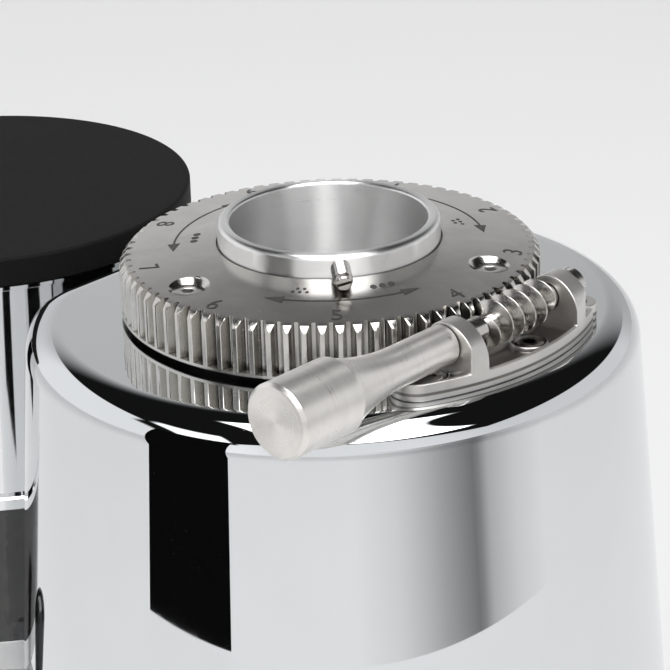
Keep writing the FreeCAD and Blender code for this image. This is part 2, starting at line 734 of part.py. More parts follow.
def make_bracket():
    bracket = new_body("worm_bracket")
    pad_outline(bracket, "bracket_plate",
                crescent(bracket_inner, bracket_outer, s.bracket_start_angle, s.bracket_end_angle),
                s.bracket_plate, offset=body_top)
    rim_angle = slope_of(s.bracket_rim, bracket_outer)
    recess = new_sketch(bracket, "bracket_recess", "XY_Plane", bracket_top - s.bracket_recess)
    draw_outline(recess, crescent(bracket_inner + s.bracket_rim, bracket_outer - s.bracket_rim,
                                  s.bracket_start_angle + rim_angle, s.bracket_end_angle - rim_angle))
    pocket = bracket.newObject("PartDesign::Pocket", "bracket_recess_pocket")
    pocket.Profile = recess
    pocket.Reversed = True
    bind(pocket, "Length", s.bracket_recess)
    bracket.Tip = pocket
    round_end = (*on_circle(bracket_middle, s.bracket_start_angle), s.bracket_width / 2)
    pad_outline(bracket, "bracket_round_end", None, s.bracket_plate, offset=body_top, circles=[round_end])
    lug_spot = on_circle(bracket_outer - s.lug_radius, s.lug_angle)
    pad_outline(bracket, "bracket_lug", None, s.bracket_plate, offset=body_top,
                circles=[(*lug_spot, s.lug_radius)])
    for index, spot in enumerate(bracket_spots()):
        pad_outline(bracket, f"bracket_boss_{index}", None, s.bracket_boss_height, offset=body_top,
                    circles=[(*spot, s.bracket_boss)])
    post_round = s.journal_radius + s.post_wall
    post_high = worm_z + post_round
    for index, start in enumerate((s.post_near, -s.post_far - s.post_thickness)):
        pad_outline(bracket, f"post_{index}",
                    [(worm_y + s.post_bend, body_top),
                     (worm_y + s.post_bend, post_high - s.post_bend, s.post_bend),
                     (worm_y, post_high, post_round), (worm_y - post_round, worm_z),
                     (worm_y - post_round, body_top)],
                    s.post_thickness, "YZ_Plane", start)
    tall = s.tooth_height * 2
    room = place(cylinder("bracket_gear_room", tip_radius + s.post_gap, tall), z=body_top)
    beyond = turned("bracket_outside", [(bracket_outer, body_top), (bracket_outer + s.post_bend, body_top),
                                        (bracket_outer + s.post_bend, body_top + tall),
                                        (bracket_outer, body_top + tall)])
    reach = nut_start + s.post_thickness
    bore = along_worm(cylinder("bracket_bore", s.journal_radius + s.running_clearance, 2 * reach), -reach)
    lug_hole = place(cylinder("bracket_lug_hole", s.lug_hole, tall), *lug_spot, body_top)
    seats = [place(screw_seat(f"bracket_seat_{index}", s.screw_head_radius, bracket_screw_length), *spot,
                   bracket_screw_level) for index, spot in enumerate(bracket_spots())]
    node("worm_bracket", cut("worm_bracket", place(bracket), room, place(beyond), bore, lug_hole, *seats))
    group("bracket_screws", [place(screw(f"bracket_screw_{index}", s.screw_head_radius, bracket_screw_length),
                                   *spot, bracket_screw_level) for index, spot in enumerate(bracket_spots())])


# Burrs, carriers and chamber
def burr(name, face_up):
    """A flat burr with slanting grooves; its grinding face points up or down."""
    inner_cone = s.burr_thickness / 2
    shape = turned(name, [(s.burr_inner, 0), (s.burr_radius, 0), (s.burr_radius, s.burr_thickness),
                          (s.burr_inner + inner_cone, s.burr_thickness),
                          (s.burr_inner, s.burr_thickness / 2)])
    groove = new_sketch(shape, f"{name}_groove", "XY_Plane", s.burr_thickness - s.burr_groove_depth)
    half = s.burr_groove_width / 2
    side = s.burr_inner / 2
    draw_outline(groove, [(s.burr_inner / 2, side + half), (s.burr_inner / 2, side - half),
                          (s.burr_radius - half, side - half), (s.burr_radius - half, side + half)])
    pocket = shape.newObject("PartDesign::Pocket", f"{name}_groove_pocket")
    pocket.Profile = groove
    pocket.Reversed = True
    bind(pocket, "Length", s.burr_groove_depth)
    repeat_round(shape, pocket, f"{name}_grooves", s.burr_grooves)
    if face_up:
        return place(shape, z=lower_burr_low)
    return place(shape, z=burr_seat, axis=(1, 0, 0), angle=180)


def burr_screws(name, level, angle, axis=None, turn=0):
    spots = [on_circle(s.burr_screw_circle, Size.of(angle + step)) for step in (0, 120, 240)]
    head = s.screw_radius * 1.6
    seats = [place(screw_seat(f"{name}_seat_{index}", head, s.screw_length), *spot, level, axis, turn)
             for index, spot in enumerate(spots)]
    screws = [place(screw(f"{name}_{index}", head, s.screw_length), *spot, level, axis, turn)
              for index, spot in enumerate(spots)]
    group(name, screws)
    return seats


def make_burrs():
    sink = s.burr_groove_depth + s.burr_gap
    upper_seats = burr_screws("upper_burr_screws", upper_burr_low + sink, 15, (1, 0, 0), 180)
    lower_seats = burr_screws("lower_burr_screws", lower_burr_top - sink, 45)
    node("upper_burr", cut("upper_burr", burr("upper_burr", False), *upper_seats))
    node("lower_burr", cut("lower_burr", burr("lower_burr", True), *lower_seats))
    flange_radius = dial_pocket - s.seat_clearance
    carrier = turned("upper_carrier", [(s.burr_inner, burr_seat), (s.carrier_radius, burr_seat),
                                       (s.carrier_radius, carrier_low), (flange_radius, carrier_low),
                                       (flange_radius, dial_under), (s.throat_radius, dial_under),
                                       (s.throat_radius, body_top),
                                       (s.burr_inner, burr_seat + s.burr_thickness)])
    dial_holes = [place(cylinder(f"carrier_hole_{index}", s.screw_radius, s.screw_length), *spot,
                        screw_level - s.screw_length) for index, spot in enumerate(dial_spots())]
    node("upper_carrier", cut("upper_carrier", place(carrier), *dial_holes, *upper_seats))
    disc = s.burr_radius + 1
    hub = s.burr_inner - 2 * s.running_clearance
    lower = turned("lower_carrier", [(s.shaft_radius, lower_carrier_low), (disc, lower_carrier_low),
                                     (disc, lower_burr_low), (hub, lower_burr_low),
                                     (hub, lower_burr_top - sink),
                                     (s.shaft_radius, lower_burr_top - sink)])
    blade = s.sweeper_width / 2
    sweeper = pad_outline(lower, "sweeper", [(disc - blade, blade), (disc - blade, -blade),
                                             (disc + s.sweeper_reach, -blade),
                                             (disc + s.sweeper_reach, blade)],
                          s.sweeper_height, offset=lower_carrier_low)
    repeat_round(lower, sweeper, "sweepers", Size.of(3))
    node("lower_carrier", cut("lower_carrier", place(lower), *lower_seats))
    nut = new_body("carrier_nut")
    corners = [on_circle(s.nut_across, 360 * index / s.nut_sides) for index in range(int(s.nut_sides.value))]
    pad_outline(nut, "carrier_nut", [(corners[0][0], 0)] + corners[1:3] + [(corners[3][0], 0)] + corners[4:],
                s.carrier_nut_height, circles=[(0, 0, s.shaft_radius / 2)])
    node("carrier_nut", place(nut, z=lower_burr_top - sink))


def make_chamber():
    bore = s.carrier_radius + s.running_clearance
    wall = s.cavity_radius + s.chamber_wall
    flange = wall + s.chamber_flange
    neck = s.dial_opening - s.seat_clearance
    flange_low_level = top_under - s.chamber_flange_height
    cavity_top = burr_seat - s.face_clearance
    seat = floor_low + s.bearing_height
    hole = s.shaft_radius + s.face_clearance
    chamber = turned("grinding_chamber", [
        (s.bearing_radius, floor_low), (wall, floor_low), (wall, flange_low_level),
        (flange, flange_low_level),
        (flange, top_under), (neck, top_under), (neck, body_top), (bore, body_top), (bore, cavity_top),
        (s.cavity_radius, cavity_top), (s.cavity_radius, floor_top), (hole, floor_top), (hole, seat),
        (s.bearing_radius, seat)])
    socket_depth = s.chamber_wall * 3 / 4
    socket = place(box("chute_socket", chute_outer_width, socket_depth, chute_outer_height),
                   -chute_outer_width / 2, -wall, chute_low)
    mouth = place(box("chute_mouth", s.chute_width, s.chamber_wall, s.chute_height),
                  -s.chute_width / 2, -wall + s.chamber_wall / 4, floor_top)
    node("grinding_chamber", cut("grinding_chamber", place(chamber), socket, mouth))
    start = doser_y + doser_inner - s.doser_wall
    length = socket_depth - wall - start
    duct = place(box("chute_duct", chute_outer_width, length, chute_outer_height),
                 -chute_outer_width / 2, start, chute_low)
    way = place(box("chute_way", s.chute_width, 2 * length, s.chute_height),
                -s.chute_width / 2, start - length / 2, floor_top)
    node("discharge_chute", cut("discharge_chute", duct, way))


# Motor
def make_motor():
    casing_radius = s.motor_radius + s.motor_wall
    casing = turned("motor_casing", [(s.motor_radius, casing_low), (casing_radius, casing_low),
                                     (casing_radius, floor_low),
                                     (s.bearing_radius + s.bearing_height, floor_low),
                                     (s.bearing_radius + s.bearing_height, floor_low - s.motor_wall),
                                     (s.motor_radius, floor_low - s.motor_wall)])
    node("motor_casing", place(casing))
    stator = turned("motor_stator", [(s.stator_inner, stator_low), (s.motor_radius, stator_low),
                                     (s.motor_radius, stator_top), (s.stator_inner, stator_top)])
    node("motor_stator", place(stator))
    rings = []
    bulge = s.winding_height / 2
    for title, level, side in (("low", stator_low, -1), ("high", stator_top, 1)):
        far = level + side * s.winding_height
        near = level + side * bulge
        rings.append(place(turned(f"winding_{title}", [
            (s.winding_inner, level), (s.winding_outer, level), (s.winding_outer, near),
            (s.winding_outer - bulge, far), (s.winding_inner + bulge, far), (s.winding_inner, near)])))
    group("motor_windings", rings)
    inner = s.shaft_radius + s.running_clearance
    for name, level in (("upper_bearing", floor_low), ("lower_bearing", shield_low)):
        ring = turned(name, [(inner, level), (s.bearing_radius, level),
                             (s.bearing_radius, level + s.bearing_height), (inner, level + s.bearing_height)])
        node(name, place(ring))
    boss = s.bearing_radius + s.motor_wall
    shield = turned("motor_end_shield", [(s.bearing_radius, shield_low), (casing_radius, shield_low),
                                         (casing_radius, casing_low), (boss, casing_low),
                                         (boss, shield_low + s.bearing_height),
                                         (s.bearing_radius, shield_low + s.bearing_height)])
    node("motor_end_shield", place(shield))
    rotor_radius = s.stator_inner - s.air_gap
    rotor = turned("motor_rotor", [(s.shaft_radius, stator_low), (rotor_radius, stator_low),
                                   (rotor_radius, stator_top), (s.shaft_radius, stator_top)])
    node("motor_rotor", place(rotor))
    sink = s.burr_groove_depth + s.burr_gap
    shaft_top = lower_burr_top - sink
    stub = s.shaft_radius / 2
    shaft = turned("motor_shaft", [(0, shaft_low), (s.shaft_radius, shaft_low), (s.shaft_radius, shaft_top),
                                   (stub, shaft_top), (stub, shaft_top + s.carrier_nut_height),
                                   (0, shaft_top + s.carrier_nut_height)])
    node("motor_shaft", place(shaft))
    fan = turned("cooling_fan", [(s.shaft_radius, fan_low), (s.fan_radius, fan_low),
                                 (s.fan_radius, fan_low + s.blade_thickness),
                                 (s.fan_hub, fan_low + s.blade_thickness), (s.fan_hub, fan_top),
                                 (s.shaft_radius, fan_top)])
    half = s.blade_thickness / 2
    blade = pad_outline(fan, "fan_blade", [(s.fan_hub - half, half), (s.fan_hub - half, -half),
                                           (s.fan_radius, -half), (s.fan_radius, half)],
                        s.fan_height, offset=fan_low)
    repeat_round(fan, blade, "fan_blades", s.fan_blades)
    node("cooling_fan", place(fan))
    can = cylinder("run_capacitor", s.capacitor_radius, s.capacitor_length)
    node("run_capacitor", place(can, -s.capacitor_length / 2, s.capacitor_place,
                                base_top + s.capacitor_radius, (0, 1, 0), 90))


# Doser
def doser_tube(name, low, high, outer):
    return turned(name, [(doser_inner, low), (outer, low), (outer, high), (doser_inner, high)])


def make_doser(casing):
    collar = turned("doser_collar", [(doser_inner, doser_collar_low), (s.doser_radius, doser_collar_low),
                                     (s.doser_radius, lid_low - s.rim_height),
                                     (s.doser_radius + s.rim_bulge, lid_low - s.rim_height + s.rim_bulge / 2),
                                     (s.doser_radius + s.rim_bulge, lid_low - s.rim_bulge / 2),
                                     (s.doser_radius, lid_low), (doser_inner, lid_low)])
    entry = place(box("doser_entry", chute_outer_width, s.doser_radius, chute_outer_height),
                  -chute_outer_width / 2, doser_y, chute_low)
    node("doser_collar", cut("doser_collar", place(collar, y=doser_y), entry))
    ledge = turned("doser_ledge", [(doser_inner, ledge_low), (ledge_radius - s.ledge_edge, ledge_low),
                                   (ledge_radius, ledge_low + s.ledge_edge),
                                   (ledge_radius, doser_collar_low - s.ledge_edge),
                                   (ledge_radius - s.ledge_edge, doser_collar_low),
                                   (doser_inner, doser_collar_low)])
    node("doser_ledge", cut("doser_ledge", place(ledge, y=doser_y), casing))
    node("doser_chamber", place(doser_tube("doser_chamber", chamber_low, ledge_low, s.doser_radius),
                                y=doser_y))
    bore = s.axle_radius + s.running_clearance
    floor = turned("doser_base", [(bore, doser_low), (s.doser_radius - s.doser_wall, doser_low),
                                  (s.doser_radius, doser_low + s.doser_wall), (s.doser_radius, chamber_low),
                                  (bore, chamber_low)])
    drop = place(cylinder("outlet_hole", s.outlet_radius, 2 * s.doser_floor), 0, outlet_y,
                 doser_low - s.doser_floor / 2)
    node("doser_base", cut("doser_base", place(floor, y=doser_y), drop))
    spout_low = doser_low - s.outlet_drop
    spout_inner = s.outlet_radius - s.outlet_wall
    spout = turned("outlet_spout", [(spout_inner, spout_low), (s.outlet_radius, spout_low),
                                    (s.outlet_radius, chamber_low), (spout_inner, chamber_low)])
    node("outlet_spout", place(spout, y=outlet_y))
    saddle_low = doser_collar_low + s.saddle_low
    block = place(box("saddle_block", s.saddle_width, s.doser_radius, s.saddle_height),
                  -s.saddle_width / 2, doser_y + doser_inner / 2, saddle_low)
    round_room = place(cylinder("saddle_room", s.doser_radius, s.saddle_height), y=doser_y, z=saddle_low)
    passage = place(box("saddle_passage", chute_outer_width, s.doser_radius + doser_inner,
                        chute_outer_height),
                    -chute_outer_width / 2, doser_y, chute_low)
    node("doser_saddle", cut("doser_saddle", block, round_room, casing, passage))
    plug = doser_inner - s.lid_play
    lid_top = lid_low + s.lid_height
    edge = s.lid_wall / 3
    lid = turned("doser_lid", [(plug - s.lid_wall, lid_low - s.lid_plug), (plug, lid_low - s.lid_plug),
                               (plug, lid_low), (lid_radius, lid_low), (lid_radius, lid_top - edge),
                               (lid_radius - edge, lid_top), (0, lid_top), (0, lid_top - s.lid_wall),
                               (plug - s.lid_wall, lid_top - s.lid_wall)])
    node("doser_lid", place(lid, y=doser_y))


def make_star():
    low = chamber_low + s.face_clearance
    star = turned("star_wheel", [(s.axle_radius, low), (s.hub_radius, low),
                                 (s.hub_radius, low + s.vane_height),
                                 (s.axle_radius, low + s.vane_height)])
    half = s.vane_thickness / 2
    reach = doser_inner - s.lid_play
    vane = pad_outline(star, "star_vane", [(s.hub_radius - half, half), (s.hub_radius - half, -half),
                                           (reach, -half), (reach, half)], s.vane_height, offset=low)
    repeat_round(star, vane, "star_vanes", s.star_vanes)
    node("star_wheel", place(star, y=doser_y))
    axle_low = lever_low - s.face_clearance
    cap = s.axle_radius + s.doser_wall
    axle = turned("star_axle", [(0, axle_low - s.doser_wall), (cap, axle_low - s.doser_wall), (cap, axle_low),
                                (s.axle_radius, axle_low), (s.axle_radius, low + s.vane_height),
                                (0, low + s.vane_height)])
    node("star_axle", place(axle, y=doser_y))


def make_lever():
    lever = new_body("doser_lever")
    half = s.lever_width / 2
    join = s.lever_hub / 2
    bore = s.axle_radius + s.running_clearance
    pad_outline(lever, "lever_hub", None, s.lever_hub_height, offset=lever_low,
                circles=[(0, 0, s.lever_hub)])
    pad_outline(lever, "lever_arm", [(join, half), (join, -half), (s.lever_reach, -half, half),
                                     (s.lever_reach + half, 0, half), (s.lever_reach, half)],
                s.lever_thickness, offset=lever_low)
    hole = new_sketch(lever, "lever_bore", "XY_Plane", lever_low)
    draw_circle(hole, 0, 0, bore)
    pocket = lever.newObject("PartDesign::Pocket", "lever_bore_pocket")
    pocket.Profile = hole
    pocket.Reversed = True
    bind(pocket, "Length", 2 * s.lever_hub_height)
    lever.Tip = pocket
    pin = new_sketch(lever, "lever_pin_hole", "XY_Plane", lever_low)
    draw_circle(pin, s.lever_reach, 0, s.lever_pin_radius)
    pin_pocket = lever.newObject("PartDesign::Pocket", "lever_pin_pocket")
    pin_pocket.Profile = pin
    pin_pocket.Reversed = True
    bind(pin_pocket, "Length", 2 * s.lever_hub_height)
    lever.Tip = pin_pocket
    node("doser_lever", place(lever, y=doser_y, axis=(0, 0, 1), angle=s.lever_angle))
    neck = s.lever_grip_radius * 2 / 3
    arm_top = lever_low + s.lever_thickness
    swell = arm_top + s.lever_grip_length - s.lever_grip_radius
    grip = turned("lever_grip", [(0, lever_low), (s.lever_pin_radius, lever_low),
                                 (s.lever_pin_radius, arm_top),
                                 (neck, arm_top), (s.lever_grip_radius, swell, s.lever_grip_radius),
                                 (0, swell + s.lever_grip_radius)])
    x, y = on_circle(s.lever_reach, s.lever_angle)
    node("lever_grip", place(grip, x, doser_y + y))


# Portafilter fork
fork_high = doser_low - s.fork_gap
fork_low = fork_high - s.fork_plate_height - s.fork_thickness
fork_screw_z = fork_high - s.fork_plate_height / 2
fork_face = -(base_front + s.fork_plate_depth)
fork_screw_y = fork_face


def fork_screw_places():
    return [side * s.fork_screw_spread for side in (-1, 1)]


def make_fork(casing):
    fork = new_body("portafilter_fork")
    outer = s.fork_inner + s.fork_arm
    front = fork_face - s.fork_reach
    back = -front_reach
    rest = fork_face - s.fork_inner
    tip = s.fork_arm / 2
    pad_outline(fork, "fork_arms", [
        (outer, back), (outer, front, -tip), (outer - tip, front - tip, -tip), (s.fork_inner, front),
        (s.fork_inner, rest, s.fork_inner), (0, rest + s.fork_inner, s.fork_inner), (-s.fork_inner, rest),
        (-s.fork_inner, front, -tip), (tip - outer, front - tip, -tip), (-outer, front), (-outer, back)],
        s.fork_thickness, offset=fork_low)
    half = s.fork_screw_spread * 2
    pad_outline(fork, "fork_plate", [(half, back), (half, fork_face), (-half, fork_face), (-half, back)],
                fork_high - fork_low, offset=fork_low)
    holes = [place(screw_seat(f"fork_seat_{index}", s.screw_head_radius, s.screw_length * 2), x, fork_screw_y,
                   fork_screw_z, (1, 0, 0), 90) for index, x in enumerate(fork_screw_places())]
    node("portafilter_fork", cut("portafilter_fork", place(fork), casing, *holes))
    group("fork_screws", [place(screw(f"fork_screw_{index}", s.screw_head_radius, s.screw_length),
                                x, fork_screw_y, fork_screw_z, (1, 0, 0), 90)
                          for index, x in enumerate(fork_screw_places())])


def check_document():
    """Stops if any object failed or any piece has no sound solid."""
    for item in DOCUMENT.Objects:
        if "Invalid" in item.State or "Error" in item.State:
            raise RuntimeError(f"{item.Label} failed: {item.State}")
    for name, item in NODES.items():
        shape = item.Shape
        if shape.isNull() or not shape.isValid() or not shape.Solids:
            raise RuntimeError(f"{name} has no sound solid")


def write_pieces():
    os.makedirs("parts", exist_ok=True)
    for name, item in NODES.items():
        item.Shape.exportStep(f"parts/{name}.step")


def main():
    casing = make_casing()
    make_base()
    make_switch(casing)
    make_ring_gear()
    make_throat()
    make_worm()
    make_bracket()
    make_burrs()
    make_chamber()
    make_motor()
    make_doser(casing)
    make_star()
    make_lever()
    make_fork(casing)
    DOCUMENT.recompute()
    check_document()
    write_pieces()


main()
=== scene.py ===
"""Looks of the burr coffee grinder: finer forms, finishes and a small studio round its packed frame."""

import json
import math

import bmesh
import bpy
from bpy.props import FloatProperty, FloatVectorProperty, IntProperty, PointerProperty
from mathutils import Matrix, Vector

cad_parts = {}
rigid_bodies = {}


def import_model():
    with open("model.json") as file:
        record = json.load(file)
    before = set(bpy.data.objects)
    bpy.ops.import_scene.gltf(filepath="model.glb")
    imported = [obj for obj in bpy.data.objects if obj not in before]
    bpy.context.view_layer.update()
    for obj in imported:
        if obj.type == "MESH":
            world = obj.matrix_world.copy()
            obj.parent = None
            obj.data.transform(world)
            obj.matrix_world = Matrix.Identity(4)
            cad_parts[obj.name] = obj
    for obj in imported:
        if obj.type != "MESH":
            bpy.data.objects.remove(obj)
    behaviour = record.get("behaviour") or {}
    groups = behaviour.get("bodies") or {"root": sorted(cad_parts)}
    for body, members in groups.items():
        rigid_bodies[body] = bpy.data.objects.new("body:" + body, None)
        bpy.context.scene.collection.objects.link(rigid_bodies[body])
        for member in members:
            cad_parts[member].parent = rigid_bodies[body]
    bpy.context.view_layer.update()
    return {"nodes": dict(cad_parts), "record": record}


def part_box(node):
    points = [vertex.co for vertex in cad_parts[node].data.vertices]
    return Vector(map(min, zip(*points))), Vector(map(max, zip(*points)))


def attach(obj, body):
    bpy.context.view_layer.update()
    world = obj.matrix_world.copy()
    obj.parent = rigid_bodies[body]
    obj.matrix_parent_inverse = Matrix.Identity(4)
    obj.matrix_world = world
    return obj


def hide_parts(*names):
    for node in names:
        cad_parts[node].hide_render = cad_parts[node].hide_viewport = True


bl_info = {
    "name": "Burr coffee grinder looks",
    "version": (1, 0, 0),
    "blender": (4, 5, 0),
    "location": "View3D > Sidebar > Grinder",
    "description": "Dresses the packed burr coffee grinder with finer forms, finishes and a studio",
    "category": "Object",
}

for start_up_item in list(bpy.data.objects):
    bpy.data.objects.remove(start_up_item)
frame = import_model()

MM = 0.001
UP = Vector((0, 0, 1))
# The picture's width, the focal length and a millimetre at the dial, all in pixels of the picture.
PICTURE_WIDTH = 670
FOCAL_WIDTH = 3500
DIAL_SCALE = 3.6


def middle_of(node):
    low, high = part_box(node)
    return (low + high) / 2


BURR_AXIS = middle_of("throat_collar")
DOSER_AXIS = middle_of("doser_lid")
WORM_AXIS = middle_of("worm_end_nut")
BODY_LOW, BODY_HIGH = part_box("body_housing")
GEAR_LOW, GEAR_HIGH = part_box("ring_gear")
COLLAR_LOW, COLLAR_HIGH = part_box("throat_collar")
KNOB_LOW, KNOB_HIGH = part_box("adjuster_knob")
SHAFT_LOW, SHAFT_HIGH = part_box("worm_shaft")
LID_LOW, LID_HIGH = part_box("doser_lid")
ON_BURR_AXIS = Matrix.Translation((0, BURR_AXIS.y, 0))
FLARE = 17 * MM
# The drawn casing stays this far inside its solid's box.
HAIR = 0.002 * MM
# How far a flank leans for its height, on the dial's teeth and on the worm's thread.
FLANK_LEAN = math.tan(math.radians(20))
# Edges sharper than this stay sharp, in degrees.
SHARP = 35.0


def length(name, description, default):
    return FloatProperty(name=name, description=description, default=default, min=0, precision=5,
                         unit="LENGTH")


def turn(name, description, degrees):
    return FloatProperty(name=name, description=description, default=math.radians(degrees), subtype="ANGLE")


def share(name, description, default):
    return FloatProperty(name=name, description=description, default=default, min=0, max=1, subtype="FACTOR")


def picture_widths(name, description, pixels):
    return FloatProperty(name=name, description=description, default=pixels / PICTURE_WIDTH)


def colour(name, description, default):
    return FloatVectorProperty(name=name, description=description, default=default, min=0, max=1, size=3,
                               subtype="COLOR")


class CasingSizes(bpy.types.PropertyGroup):
    """Sizes of the chromed casing."""
    top_radius: length("Top radius", "Radius of the casing's plan at its top", BODY_HIGH.x - FLARE - HAIR)
    flare: length("Flare", "How far the wall leans out from the top to the foot", FLARE)
    front_reach: length("Front reach", "From the burr axis to the flat front, at the top", 73.5 * MM)
    corner_radius: length("Corner radius", "Round between the flat front and the flanks", 24 * MM)
    shoulder_radius: length("Shoulder radius", "Roll between the wall and the top", 10 * MM)
    wall: length("Wall", "Thickness of the sheet", 2.5 * MM)
    opening_radius: length("Opening", "Radius of the hole under the dial", 51 * MM)


class DialSizes(bpy.types.PropertyGroup):
    """Sizes of the toothed dial and its markings."""
    teeth: IntProperty(name="Teeth", description="Number of teeth round the dial", default=76, min=12)
    tip_radius: length("Tip radius", "Radius over the teeth", GEAR_HIGH.x)
    root_depth: length("Tooth depth", "From the tips to the bottoms of the gaps", 3.375 * MM)
    tip_chamfer: length("Tip chamfer", "Chamfer along the top of each tooth", 1.6 * MM)
    cone_rise: length("Cone rise", "Rise of the face from the teeth to the collar", 3.4 * MM)
    tooth_height: length("Tooth height", "Height of the teeth above the lip", 14 * MM)
    numeral_height: length("Numeral height", "Height of the numbers", 5.4 * MM)
    numeral_circle: length("Numeral circle", "Radius of the numbers' middle", 51.2 * MM)
    arrow_circle: length("Arrow circle", "Radius of the curved arrows", 43.4 * MM)
    screw_circle: length("Screw circle", "Radius of the dial's screws", 47.8 * MM)
    screw_turn: turn("Screw turn", "Angle of the first screw", 109)


class ThroatSizes(bpy.types.PropertyGroup):
    """Sizes of the throat collar and its stud."""
    bore: length("Bore", "Radius of the throat", 27.5 * MM)
    outer: length("Outer radius", "Radius of the collar", COLLAR_HIGH.x)
    lip: length("Lip", "Round of the collar's rim", 1.6 * MM)
    stud_radius: length("Stud radius", "Radius over the stud's thread", 2.7 * MM)
    stud_pitch: length("Stud pitch", "Pitch of the stud's thread", 1.3 * MM)
    stud_turn: turn("Stud turn", "Direction of the stud round the throat", 48)


class DriveSizes(bpy.types.PropertyGroup):
    """Sizes of the worm, its shaft and its knob."""
    thread_pitch: length("Thread pitch", "Pitch of the worm's thread", 1.5 * math.pi * MM)
    thread_radius: length("Thread radius", "Radius over the worm's thread", 6.25 * MM)
    core_radius: length("Core radius", "Radius between the threads", 2.875 * MM)
    journal_radius: length("Journal radius", "Radius of the shaft in its bearings", 3.5 * MM)
    shank_radius: length("Shank radius", "Radius of the knob's neck", 5.6 * MM)
    grip_radius: length("Grip radius", "Radius of the knob's grip", (KNOB_HIGH.z - KNOB_LOW.z) / 2)
    grip_length: length("Grip length", "Length of the knob's grip", 22.7 * MM)


class DoserSizes(bpy.types.PropertyGroup):
    """Sizes of the doser's lid and lever."""
    lid_radius: length("Lid radius", "Radius of the lid", LID_HIGH.x)
    lid_edge: length("Lid edge", "Round of the lid's rim", 1 * MM)
    plug_radius: length("Plug radius", "Radius of the lid's collar inside the doser", 61.6 * MM)


class FinishColours(bpy.types.PropertyGroup):
    """Colours of the main finishes."""
    chrome: colour("Chrome", "Mirror plating of the casing", (0.735, 0.752, 0.76))
    dial: colour("Dial steel", "Satin steel of the toothed dial", (0.62, 0.605, 0.575))
    collar: colour("Collar aluminium", "Brushed aluminium of the throat", (0.97, 0.965, 0.955))
    turned: colour("Turned steel", "Worm, knob and shafts", (0.68, 0.66, 0.63))
    nickel: colour("Bracket nickel", "Satin casting that carries the worm", (0.62, 0.605, 0.58))
    doser: colour("Doser steel", "Polished steel of the doser", (0.80, 0.805, 0.81))
    black: colour("Black plastic", "Lid, switch and fan", (0.009, 0.0088, 0.0086))
    smoke: colour("Smoked plastic", "Window of the doser", (0.012, 0.012, 0.013))
    cast: colour("Cast aluminium", "Doser base, saddle and inner castings", (0.66, 0.66, 0.66))
    rubber: colour("Rubber", "Feet and cord gland", (0.018, 0.018, 0.018))
    marking: colour("Marking", "Fill of the numbers and arrows", (0.05, 0.047, 0.044))


class StageSettings(bpy.types.PropertyGroup):
    """Camera and studio."""
    azimuth: turn("Azimuth", "Direction of the camera round the grinder", 133)
    elevation: turn("Elevation", "Height of the camera above the horizon", 20.95)
    roll: turn("Roll", "Tilt of the camera about its line of sight", -1.95)
    focal: picture_widths("Focal length", "Focal length in picture widths", FOCAL_WIDTH)
    distance: length("Distance", "From the camera to the dial", FOCAL_WIDTH / DIAL_SCALE * MM)
    aim_x: picture_widths("Aim across", "Where the dial lies across the picture", 329.6)
    aim_y: picture_widths("Aim down", "Where the dial lies down the picture", 249.0)
    floor: colour("Floor", "Pale floor", (0.86, 0.86, 0.865))
    daylight: share("Daylight", "Even light of the room", 0.78)


GROUPS = {"grinder_casing": CasingSizes, "grinder_dial": DialSizes, "grinder_throat": ThroatSizes,
          "grinder_drive": DriveSizes, "grinder_doser": DoserSizes, "grinder_colours": FinishColours,
          "grinder_stage": StageSettings}


class Shade:
    """A value that varies over a surface: arithmetic on it adds Math nodes to its tree."""

    def __init__(self, finish, socket):
        self.finish = finish
        self.socket = socket

    def worked(self, operation, *others):
        return self.finish.node("ShaderNodeMath", {"operation": operation}, dict(enumerate([self, *others])))

    def reflected(self, operation, other):
        return self.finish.node("ShaderNodeMath", {"operation": operation}, {0: other, 1: self})

    def __add__(self, other):
        return self.worked("ADD", other)

    def __radd__(self, other):
        return self.reflected("ADD", other)

    def __sub__(self, other):
        return self.worked("SUBTRACT", other)

    def __rsub__(self, other):
        return self.reflected("SUBTRACT", other)

    def __mul__(self, other):
        return self.worked("MULTIPLY", other)

    def __rmul__(self, other):
        return self.reflected("MULTIPLY", other)

    def __pow__(self, other):
        return self.worked("POWER", other)

    def __rpow__(self, other):
        return self.reflected("POWER", other)

    def __abs__(self):
        return self.worked("ABSOLUTE")

    def step(self, low, high):
        """0 below low, 1 above high, smooth between."""
        return self.finish.node("ShaderNodeMapRange", {"interpolation_type": "SMOOTHSTEP", "clamp": True},
                                {"Value": self, "From Min": low, "From Max": high})


